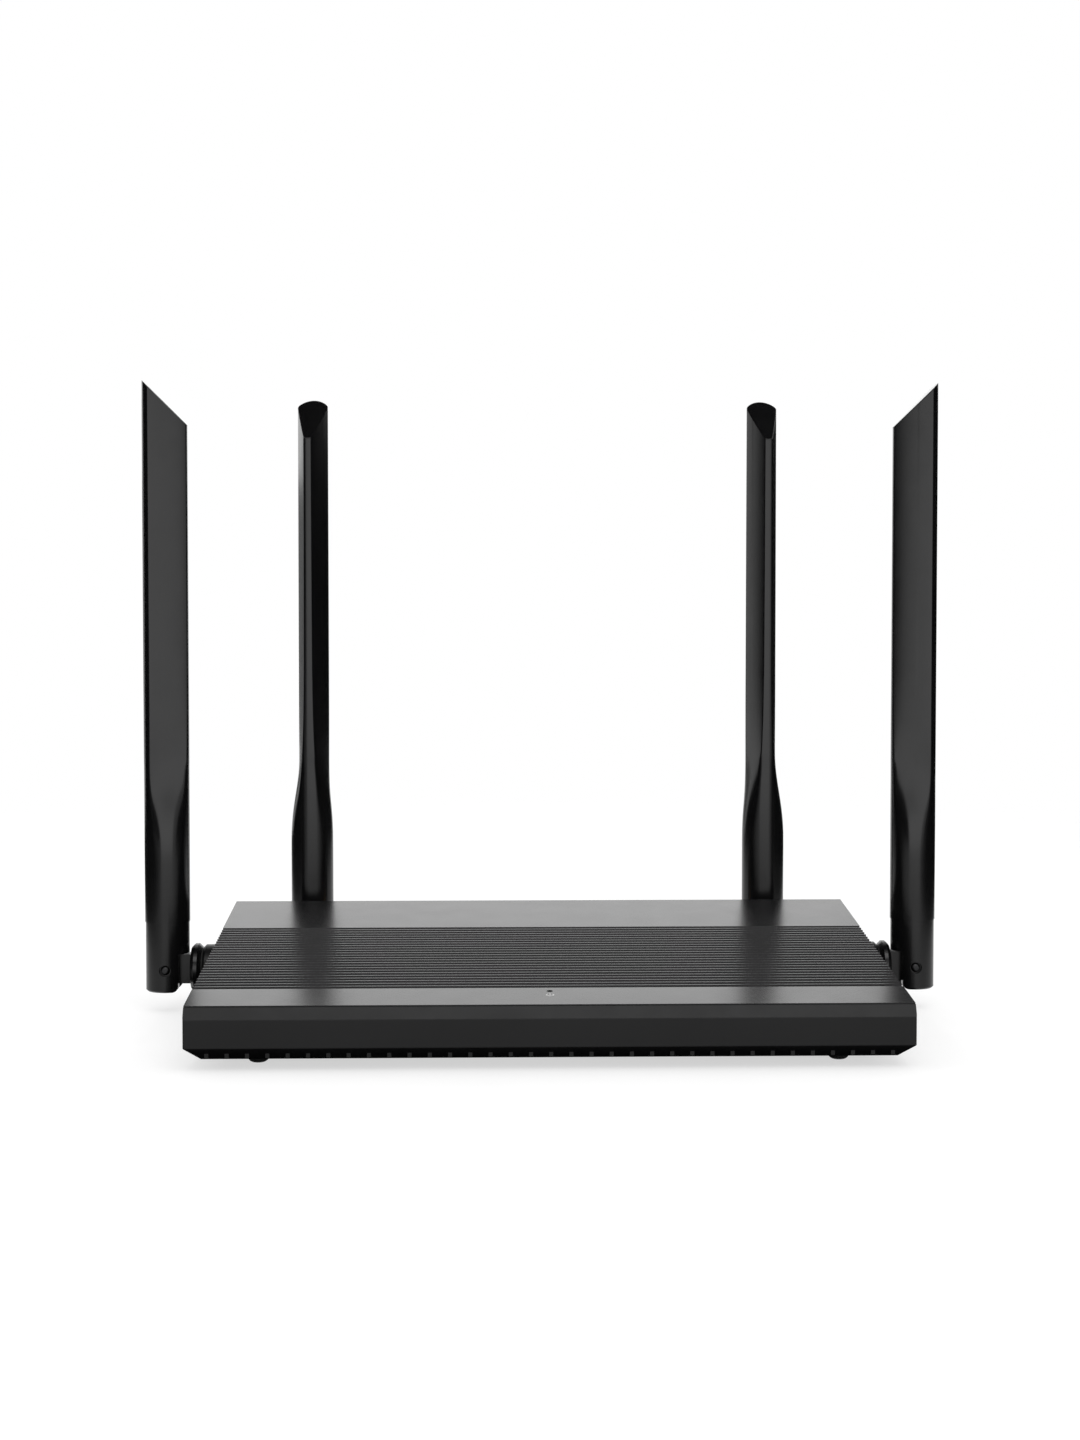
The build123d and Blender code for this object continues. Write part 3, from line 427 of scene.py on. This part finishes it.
class Paintshop:
    """Keeps one material for each finish and puts it on pieces."""

    def __init__(self) -> None:
        """Starts with no material mixed."""
        self.mixed: dict[str, bpy.types.Material] = {}

    def material(self, finish: Finish) -> bpy.types.Material:
        """Gives a finish's material, mixed on first use.

        Args:
            finish: The finish wanted.

        Returns:
            Its material.
        """
        if finish.name not in self.mixed:
            self.mixed[finish.name] = finish.material()
        return self.mixed[finish.name]

    def dress_node(self, name: str, slot: str) -> None:
        """Puts a slot's finish on a CAD node.

        Args:
            name: The node's name.
            slot: The record's material slot.
        """
        finish = SLOT_FINISHES[slot]
        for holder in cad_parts[name].material_slots:
            holder.material = self.material(finish)
        log.info("%s dressed in %s", name, finish.name)

    def dress_frame(self) -> None:
        """Puts the finish of its record slot on every CAD node."""
        for name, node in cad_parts.items():
            self.dress_node(name, node.material_slots[0].material.name.split(".")[0])

    def dress_piece(self, piece: bpy.types.Object, finish: Finish, slot: str, body: str) -> None:
        """Puts a finish on a new piece and lets it ride on a body.

        Args:
            piece: The new piece.
            finish: The finish it gets.
            slot: The record's material slot it belongs to; not used.
            body: The body it moves with.
        """
        piece.data.materials.clear()
        piece.data.materials.append(self.material(finish))
        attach(piece, body)
        log.info("%s made in %s", piece.name, finish.name)


def deselect() -> None:
    """Leaves nothing selected before a new piece is started."""
    bpy.ops.object.select_all(action="DESELECT")


def take(piece: bpy.types.Object) -> None:
    """Makes a piece the only one selected, and the active one.

    Args:
        piece: The piece.
    """
    deselect()
    piece.select_set(True)
    bpy.context.view_layer.objects.active = piece


def start_edit(name: str) -> bpy.types.Object:
    """Names the primitive just added and opens it in edit mode.

    Args:
        name: The piece's name.

    Returns:
        The piece.
    """
    piece = bpy.context.object
    piece.name = name
    piece.data.name = name
    bpy.ops.object.mode_set(mode="EDIT")
    return piece


def pick(piece: bpy.types.Object, wanted: Callable[[Vector], bool]) -> None:
    """Selects the points of a piece in edit mode by their place.

    Args:
        piece: The piece in edit mode.
        wanted: Tells whether a point at a place is selected.
    """
    bpy.ops.mesh.select_mode(type="VERT")
    bpy.ops.mesh.select_all(action="DESELECT")
    mesh = bmesh.from_edit_mesh(piece.data)
    for point in mesh.verts:
        point.select = wanted(point.co)
    mesh.select_flush_mode()
    bmesh.update_edit_mesh(piece.data)


def pick_faces(piece: bpy.types.Object, wanted: Callable[[Vector], bool]) -> None:
    """Selects the faces of a piece in edit mode by their middle.

    Args:
        piece: The piece in edit mode.
        wanted: Tells whether a face with that middle is selected.
    """
    bpy.ops.mesh.select_mode(type="FACE")
    bpy.ops.mesh.select_all(action="DESELECT")
    mesh = bmesh.from_edit_mesh(piece.data)
    for face in mesh.faces:
        face.select = wanted(face.calc_center_median())
    mesh.select_flush_mode()
    bmesh.update_edit_mesh(piece.data)


def pick_all() -> None:
    """Selects the whole piece in edit mode."""
    bpy.ops.mesh.select_all(action="SELECT")


def raise_selected(rise: float) -> None:
    """Extrudes what is selected in edit mode straight up."""
    bpy.ops.mesh.extrude_region_move(TRANSFORM_OT_translate={"value": (0.0, 0.0, rise)})


def close_edit(smooth: float | None = None) -> None:
    """Merges doubles, turns faces outwards, leaves edit mode and shades the piece.

    Args:
        smooth: Edges flatter than this many degrees are shaded smooth.
    """
    pick_all()
    bpy.ops.mesh.remove_doubles(threshold=MERGE)
    bpy.ops.mesh.normals_make_consistent(inside=False)
    bpy.ops.object.mode_set(mode="OBJECT")
    if smooth is not None:
        bpy.ops.object.shade_smooth_by_angle(angle=math.radians(smooth))


def settle(piece: bpy.types.Object, place: Matrix) -> None:
    """Moves a piece's mesh to its place, with the object itself left at the origin.

    Args:
        piece: The piece, modelled about the origin.
        place: Where it goes.
    """
    take(piece)
    piece.matrix_world = place
    bpy.ops.object.transform_apply(location=True, rotation=True, scale=True)


def copy_piece(piece: bpy.types.Object, name: str) -> bpy.types.Object:
    """Copies a piece with a mesh of its own.

    Args:
        piece: The piece to copy.
        name: The copy's name.

    Returns:
        The copy.
    """
    take(piece)
    bpy.ops.object.duplicate(linked=False)
    twin = bpy.context.object
    twin.name = name
    twin.data.name = name
    return twin


def join_pieces(pieces: list[bpy.types.Object]) -> bpy.types.Object:
    """Joins several meshes into the first one.

    Args:
        pieces: The meshes.

    Returns:
        The joined piece.
    """
    take(pieces[0])
    for piece in pieces:
        piece.select_set(True)
    bpy.ops.object.join()
    return bpy.context.object


def middle(name: str) -> Vector:
    """Gives the middle of a CAD node."""
    low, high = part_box(name)
    return (low + high) / 2


@dataclass
class Antennas:
    """The four antenna sleeves: round foot, two flats that run out into it, slanted tip.

    Heights are above the hinge pin, and angles are in degrees.
    """

    shop: Paintshop
    radius: float = 7.1 * MM
    foot: float = 15.0 * MM
    tip: float = 185.75 * MM
    columns: int = 160
    round_rings: int = 2
    foot_lip: float = 0.4 * MM
    foot_band: float = 12.0 * MM
    bend_lead: float = 3.0 * MM
    bend_step: float = 1.25 * MM
    bend_rings: int = 48
    blade_step: float = 15.0 * MM
    blade_rings: int = 6
    tip_spare: float = 0.5 * MM
    flat_offset: float = 3.42 * MM
    flat_draft: float = 0.0014
    flat_lean: float = 18.9
    flat_start: float = 64.0 * MM
    flat_end: float = 37.0 * MM
    swell: float = 0.3 * MM
    swell_reach: float = 13.0 * MM
    untwist: float = 4.5
    untwist_limit: float = 1.5
    crown: float = 0.05
    smoothing: float = 0.5
    edge_rounds: int = 2
    soft_rounds: int = 24
    rim: float = 0.2 * MM
    rim_steps: tuple[tuple[float, float], ...] = ((0.3, 0.7), (0.7, 0.3), (1.5, 0.0))
    crease: float = 40.0
    rear_turn: float = 5.0

    def heights(self) -> list[float]:
        """Gives the heights of the sleeve's rings, close together where the flats run out.

        Returns:
            The heights, from the foot up to just past the tip.
        """
        low = [self.foot, self.foot + self.foot_lip, self.foot + self.foot_band]
        bend = [self.flat_end - self.bend_lead + self.bend_step * i for i in range(self.bend_rings)]
        blade = [bend[-1] + self.blade_step * (i + 1) for i in range(self.blade_rings)]
        return low + bend + blade + [self.tip + self.tip_spare]

    def fade(self, height: float) -> float:
        """Gives how far the flats have run out at a height.

        Args:
            height: The height.

        Returns:
            0 where the flats are whole, 1 where the sleeve is round.
        """
        share = (self.flat_start - height) / (self.flat_start - self.flat_end)
        share = min(1.0, max(0.0, share))
        return share * share * (3.0 - 2.0 * share)

    def swelling(self, height: float) -> float:
        """Gives how strongly the sleeve swells towards its foot, 1 where the flats start."""
        return math.exp((self.flat_start - height) / self.swell_reach)

    def level(self, height: float) -> float:
        """Gives how far a flat stands from the axis at a height."""
        draft = self.flat_draft * (self.tip - height)
        return min(self.radius, self.flat_offset + draft + self.swell * self.swelling(height))

    def lean(self, height: float) -> float:
        """Gives how far the flats lean together at a height, in radians."""
        untwisted = self.untwist * min(self.untwist_limit, self.swelling(height))
        return math.radians(self.flat_lean - untwisted)

    def raise_tube(self, heights: list[float]) -> bpy.types.Object:
        """Extrudes a round tube ring by ring and leaves it in edit mode.

        Args:
            heights: The rings' heights.

        Returns:
            The tube.
        """
        deselect()
        bpy.ops.mesh.primitive_circle_add(
            vertices=self.columns, radius=self.radius, fill_type="NGON", location=(0.0, 0.0, heights[0])
        )
        bpy.ops.object.transform_apply(location=True)
        tube = start_edit("sleeve")
        for low, high in zip(heights, heights[1:]):
            raise_selected(high - low)
        return tube

    def press_flat(self, tube: bpy.types.Object, side: float, height: float) -> None:
        """Presses in the part of a ring that stands past a flat.

        Args:
            tube: The tube in edit mode.
            side: Which of the two flats, -1 or 1.
            height: The ring's height.
        """
        level = self.level(height)
        lean = self.lean(height)
        left_over = self.crown + (1.0 - self.crown) * self.fade(height)
        away = Vector((-math.sin(lean), side * math.cos(lean), 0.0))
        pick(tube, lambda p: abs(p.z - height) < TOUCH and p.dot(away) > level)
        bpy.ops.transform.resize(
            value=(1.0, left_over, 1.0),
            center_override=away * level,
            orient_matrix=Matrix.Rotation(side * lean, 3, "Z"),
            orient_matrix_type="LOCAL",
            orient_type="LOCAL",
        )

    def round_over(self, tube: bpy.types.Object) -> None:
        """Rounds the edges of the flats, and more so the back and the run-out.

        Args:
            tube: The tube in edit mode.
        """
        pick_all()
        bpy.ops.mesh.vertices_smooth(factor=self.smoothing, repeat=self.edge_rounds, zaxis=False)
        pick(tube, lambda p: p.x > 0.0 or p.z < self.flat_start)
        bpy.ops.mesh.vertices_smooth(factor=self.smoothing, repeat=self.soft_rounds, zaxis=False)

    def cut_tip(self) -> None:
        """Cuts the slanted tip and rounds its rim in small steps."""
        slant = (-1.0, 0.0, 1.0)
        shoulder = self.tip - self.rim * math.sqrt(2.0)
        pick_all()
        bpy.ops.mesh.bisect(plane_co=(self.radius, 0.0, shoulder - self.rim), plane_no=slant)
        pick_all()
        bpy.ops.mesh.bisect(
            plane_co=(self.radius, 0.0, shoulder), plane_no=slant, use_fill=True, clear_outer=True
        )
        for across, rise in self.rim_steps:
            bpy.ops.mesh.inset(thickness=across * self.rim, depth=rise * self.rim)

    def model(self) -> bpy.types.Object:
        """Models one sleeve about its hinge pin, with its round back along +X.

        Returns:
            The sleeve.
        """
        heights = self.heights()
        sleeve = self.raise_tube(heights)
        for side in (-1.0, 1.0):
            for height in heights[self.round_rings:]:
                self.press_flat(sleeve, side, height)
        self.round_over(sleeve)
        self.cut_tip()
        close_edit(smooth=self.crease)
        return sleeve

    def build(self) -> None:
        """Models a sleeve, sets a copy on each hinge and lets it stand for the CAD sleeve."""
        pattern = self.model()
        turns = {
            Place.LEFT_SIDE: 180.0,
            Place.RIGHT_SIDE: 0.0,
            Place.LEFT_REAR: 90.0 - self.rear_turn,
            Place.RIGHT_REAR: 90.0 + self.rear_turn,
        }
        for place, turn in turns.items():
            pin = middle(f"{place.value}_hinge_pin")
            sleeve = copy_piece(pattern, f"{place.value}_sleeve_skin")
            settle(sleeve, Matrix.Translation(pin) @ Matrix.Rotation(math.radians(turn), 4, "Z"))
            self.shop.dress_piece(sleeve, SLEEVE, "sleeve_plastic", f"{place.value}_antenna")
            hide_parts(f"{place.value}_sleeve")
        bpy.data.objects.remove(pattern)


@dataclass
class Marks:
    """Printed signs: a power sign by the light and the inlet, and numbers over the sockets."""

    shop: Paintshop
    thickness: float = 0.02 * MM
    ring: float = 1.15 * MM
    ring_points: int = 60
    ring_gap: float = 38.0
    line: float = 0.32 * MM
    stroke_rise: float = 0.828 * MM
    stroke_stretch: float = 4.0
    digit_size: float = 3.64 * MM
    digit_steps: int = 6
    digit_lift: float = 1.9 * MM
    sign_lift: float = 3.23 * MM
    light_gap: float = 3.7 * MM
    cover_rise: float = 13.8 * MM
    cover_run: float = 117.8 * MM
    edge_y: float = -70.8 * MM
    edge_z: float = 18.0 * MM
    rear_wall: float = 47.0 * MM
    port_count: int = 4

    def thicken(self) -> None:
        """Gives the flat shape in edit mode the ink's thickness and closes it."""
        pick_all()
        raise_selected(self.thickness)
        close_edit()

    def broken_ring(self, name: str) -> bpy.types.Object:
        """Models a ring with a gap at its top, lying flat about the origin.

        Args:
            name: The piece's name.

        Returns:
            The ring.
        """
        deselect()
        bpy.ops.mesh.primitive_circle_add(
            vertices=self.ring_points, radius=self.ring, fill_type="NOTHING"
        )
        ring = start_edit(name)
        bpy.ops.mesh.extrude_edges_move()
        inner = (self.ring - self.line) / self.ring
        bpy.ops.transform.resize(value=(inner, inner, 1.0), center_override=ORIGIN)
        reach = math.cos(math.radians(self.ring_gap))
        pick_faces(ring, lambda p: p.y / p.length > reach)
        bpy.ops.mesh.delete(type="FACE")
        self.thicken()
        return ring

    def stroke(self, name: str) -> bpy.types.Object:
        """Models the upright stroke in the ring's gap.

        Args:
            name: The piece's name.

        Returns:
            The stroke.
        """
        place = (0.0, self.stroke_rise, 0.0)
        deselect()
        bpy.ops.mesh.primitive_plane_add(size=self.line, location=place)
        bpy.ops.object.transform_apply(location=True)
        stroke = start_edit(name)
        bpy.ops.transform.resize(value=(1.0, self.stroke_stretch, 1.0), center_override=place)
        self.thicken()
        return stroke

    def power_sign(self, name: str) -> bpy.types.Object:
        """Models a broken ring with a stroke in its gap.

        Args:
            name: The piece's name.

        Returns:
            The sign.
        """
        return join_pieces([self.broken_ring(name), self.stroke(f"{name}_stroke")])

    def digit_sign(self, number: int) -> bpy.types.Object:
        """Models one number lying flat about the origin.

        Args:
            number: The number.

        Returns:
            The number's mesh.
        """
        deselect()
        bpy.ops.object.text_add()
        text = bpy.context.object
        text.data.body = str(number)
        text.data.size = self.digit_size
        text.data.align_x = "CENTER"
        text.data.align_y = "CENTER"
        text.data.extrude = self.thickness
        text.data.resolution_u = self.digit_steps
        bpy.ops.object.convert(target="MESH")
        digit = start_edit(f"digit_{number}")
        close_edit()
        return digit

    def stand_over(self, mark: bpy.types.Object, jack: str, lift: float) -> None:
        """Stands a mark upright on the rear wall, over a jack.

        Args:
            mark: The mark, lying flat about the origin.
            jack: The jack's name.
            lift: Height of the mark's middle above the jack.
        """
        low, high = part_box(jack)
        place = Matrix.Translation(((low.x + high.x) / 2, self.rear_wall, high.z + lift))
        facing = Matrix.Rotation(math.pi, 4, "Z") @ Matrix.Rotation(math.pi / 2, 4, "X")
        settle(mark, place @ facing)

    def mark_light(self) -> None:
        """Prints a power sign on the sloping cover, in front of the light."""
        slope = math.atan2(self.cover_rise, self.cover_run)
        y = middle("light_pipe").y - self.light_gap
        z = self.edge_z + (y - self.edge_y) * math.tan(slope)
        sign = self.power_sign("light_power_sign")
        settle(sign, Matrix.Translation((0.0, y, z)) @ Matrix.Rotation(slope, 4, "X"))
        self.shop.dress_piece(sign, PRINT, "cover_plastic", HOUSING)

    def mark_ports(self) -> None:
        """Prints a number over each network socket."""
        digits = []
        for number in range(1, self.port_count + 1):
            digit = self.digit_sign(number)
            self.stand_over(digit, f"lan_jack_{number}", self.digit_lift)
            digits.append(digit)
        numbers = join_pieces(digits)
        numbers.name = "port_numbers"
        self.shop.dress_piece(numbers, PRINT, "case_plastic", HOUSING)

    def mark_inlet(self) -> None:
        """Prints a power sign over the inlet."""
        sign = self.power_sign("inlet_power_sign")
        self.stand_over(sign, "power_jack", self.sign_lift)
        self.shop.dress_piece(sign, PRINT, "case_plastic", HOUSING)

    def build(self) -> None:
        """Makes the signs and puts them on the cover and the rear wall."""
        self.mark_light()
        self.mark_ports()
        self.mark_inlet()


@dataclass(frozen=True)
class Panel:
    """A soft light panel: its centre, the point it faces, its width and height, all in metres."""

    name: str
    place: Point
    aim: Point
    size: tuple[float, float]
    radiance: float

    def hang(self) -> None:
        """Hangs the panel, with a face as bright as its radiance, where 1 is white."""
        width, height = self.size
        light = bpy.data.lights.new(self.name, "AREA")
        light.shape = "RECTANGLE"
        light.size = width
        light.size_y = height
        light.energy = self.radiance * math.pi * width * height
        panel = bpy.data.objects.new(self.name, light)
        bpy.context.scene.collection.objects.link(panel)
        panel.location = self.place
        facing = Vector(self.aim) - Vector(self.place)
        panel.rotation_euler = facing.to_track_quat("-Z", "Y").to_euler()
        panel.visible_camera = False


@dataclass(frozen=True)
class Card:
    """A felt card that only reflections see: a corner and the two edges from it, in metres."""

    name: str
    corner: Point
    across: Point
    up: Point
    tone: float = 0.009

    def hang(self) -> None:
        """Hangs the card beside the set, for the shaded sides; the card under the router is painted
        shade.
        """
        deselect()
        bpy.ops.mesh.primitive_plane_add(size=1.0)
        card = bpy.context.object
        card.name = self.name
        across = Vector(self.across)
        up = Vector(self.up)
        centre = Vector(self.corner) + across / 2 + up / 2
        edges = Matrix((across, up, across.cross(up))).transposed().to_4x4()
        card.data.transform(Matrix.Translation(centre) @ edges)
        card.data.materials.append(Felt(f"{self.name} felt", self.tone).material())
        card.visible_camera = False
        card.visible_diffuse = False
        card.visible_transmission = False
        card.visible_shadow = False


PANELS = (
    Panel("rear panel", (-0.45, 2.0, 0.92), aim=(0.0, 0.0, 0.02), size=(2.2, 1.0), radiance=0.85),
    Panel("front panel", (0.3, -1.35, 1.75), aim=(0.0, 0.0, 0.02), size=(1.8, 0.9), radiance=3.1),
    Panel("low panel", (0.1, -1.7, 0.2), aim=(0.0, 0.0, 0.1), size=(1.9, 0.7), radiance=1.5),
)

CARDS = (
    Card("left card", (-0.9, -1.9, 0.0), across=(0.0, 2.6, 0.0), up=(0.0, 0.0, 0.6)),
    Card("right card", (0.9, -0.85, 0.0), across=(0.0, 1.75, 0.0), up=(0.0, 0.0, 0.6)),
    Card("far right card", (0.9, 0.9, 0.0), across=(-0.55, 0.33, 0.0), up=(0.0, 0.0, 0.35)),
    Card("far left card", (-0.9, 1.15, 0.0), across=(0.5, 0.2, 0.0), up=(0.0, 0.0, 0.28), tone=0.2),
    Card("front card", (-1.2, -1.25, 0.78), across=(2.4, 0.0, 0.0), up=(0.0, 0.0, 0.17)),
    Card("left floor card", (-0.9, -0.4, 0.001), across=(0.62, 0.0, 0.0), up=(0.0, 1.0, 0.0)),
    Card("right floor card", (0.28, -0.4, 0.001), across=(0.62, 0.0, 0.0), up=(0.0, 1.3, 0.0)),
    # The card under the router is painted shade: a dark sheet only reflections see, standing in for the
    # shadow under the case that the chamfer reflects.
    Card("under painted shade card", (-0.12, -0.0733, 0.0005), across=(0.24, 0.0, 0.0), up=(0.0, 0.12, 0.0)),
    Card("top card", (-0.7, -0.35, 1.6), across=(1.4, 0.0, 0.0), up=(0.0, 1.2, 0.0)),
)


@dataclass
class Studio:
    """Pale floor, soft panels, dark cards, white background and the camera.

    The floor's sizes are in metres, and the camera's turn is in degrees.
    """

    lens: float = 50.0
    sensor: float = 36.0
    nearest: float = 10.0 * MM
    camera_place: Point = (-17.69 * MM, -612.98 * MM, 115.36 * MM)
    camera_turn: Point = (87.929, 0.0, -1.545)
    floor_radius: float = 1.6
    floor_points: int = 96
    floor_dark: Colour = (0.36, 0.36, 0.36)
    floor_light: Colour = (0.38, 0.38, 0.38)
    floor_dust: float = 60.0 * MM
    floor_roughness: float = 0.8
    floor_specular: float = 0.1
    floor_glow: float = 0.6
    fade_start: float = 0.3
    fade_end: float = 0.95

    def seen_rays(self, tree: bpy.types.NodeTree) -> bpy.types.NodeSocket:
        """Tells camera, reflected and transmitted rays from the rest.

        Args:
            tree: The node tree that needs to know.

        Returns:
            An output that is 1 for those rays and 0 for others.
        """
        path = tree.nodes.new("ShaderNodeLightPath")
        shown = path.outputs["Is Camera Ray"]
        for kind in ("Is Glossy Ray", "Is Transmission Ray"):
            either = tree.nodes.new("ShaderNodeMath")
            either.operation = "MAXIMUM"
            tree.links.new(shown, either.inputs[0])
            tree.links.new(path.outputs[kind], either.inputs[1])
            shown = either.outputs[0]
        return shown

    def floor_material(self) -> bpy.types.Material:
        """Lays out the floor's nodes: a pale glow that thins out towards the floor's edge.

        Returns:
            The material.
        """
        bench = Bench("floor pale")
        bench.tint(bench.noise(self.floor_dust), self.floor_dark, self.floor_light)
        bench.fill(bench.shader, Roughness=self.floor_roughness, Specular_IOR_Level=self.floor_specular)
        bench.fill(bench.shader, Emission_Color=WHITE)
        glow = bench.add("ShaderNodeMath")
        glow.operation = "MULTIPLY"
        glow.inputs[1].default_value = self.floor_glow
        bench.tree.links.new(self.seen_rays(bench.tree), glow.inputs[0])
        bench.join(glow, "Value", bench.shader, "Emission Strength")
        reach = bench.add("ShaderNodeVectorMath")
        reach.operation = "LENGTH"
        bench.join(bench.place, "Object", reach, "Vector")
        fade = bench.add(
            "ShaderNodeMapRange", From_Min=self.fade_start, From_Max=self.fade_end, To_Min=1.0, To_Max=0.0
        )
        fade.interpolation_type = "SMOOTHSTEP"
        bench.join(reach, "Value", fade, "Value")
        bench.join(fade, "Result", bench.shader, "Alpha")
        return bench.material

    def floor(self) -> None:
        """Lays a round pale floor that thins out to the white background."""
        bpy.ops.mesh.primitive_circle_add(
            vertices=self.floor_points, radius=self.floor_radius, fill_type="NGON"
        )
        floor = bpy.context.object
        floor.name = "floor"
        floor.data.materials.append(self.floor_material())

    def sky(self) -> None:
        """Puts an even white background all round."""
        world = bpy.data.worlds.new("studio")
        world.use_nodes = True
        tree = world.node_tree
        tree.nodes.clear()
        background = tree.nodes.new("ShaderNodeBackground")
        background.inputs["Color"].default_value = WHITE
        output = tree.nodes.new("ShaderNodeOutputWorld")
        tree.links.new(background.outputs["Background"], output.inputs["Surface"])
        bpy.context.scene.world = world

    def camera(self) -> None:
        """Stands the camera where the photograph was taken."""
        data = bpy.data.cameras.new("camera")
        data.lens = self.lens
        data.sensor_width = self.sensor
        data.sensor_fit = "AUTO"
        data.clip_start = self.nearest
        camera = bpy.data.objects.new("camera", data)
        bpy.context.scene.collection.objects.link(camera)
        camera.location = self.camera_place
        camera.rotation_euler = [math.radians(a) for a in self.camera_turn]
        bpy.context.scene.camera = camera

    def build(self) -> None:
        """Sets up the floor, lights, background and camera."""
        self.floor()
        for piece in PANELS + CARDS:
            piece.hang()
        self.sky()
        self.camera()
        bpy.context.scene.view_settings.view_transform = "Standard"


def main() -> None:
    """Dresses the frame, makes the new pieces and sets the studio."""
    logging.basicConfig(level=logging.INFO, format="%(message)s")
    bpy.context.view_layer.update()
    deselect()
    shop = Paintshop()
    shop.dress_frame()
    Antennas(shop).build()
    Marks(shop).build()
    Studio().build()


if __name__ == "__main__":
    main()
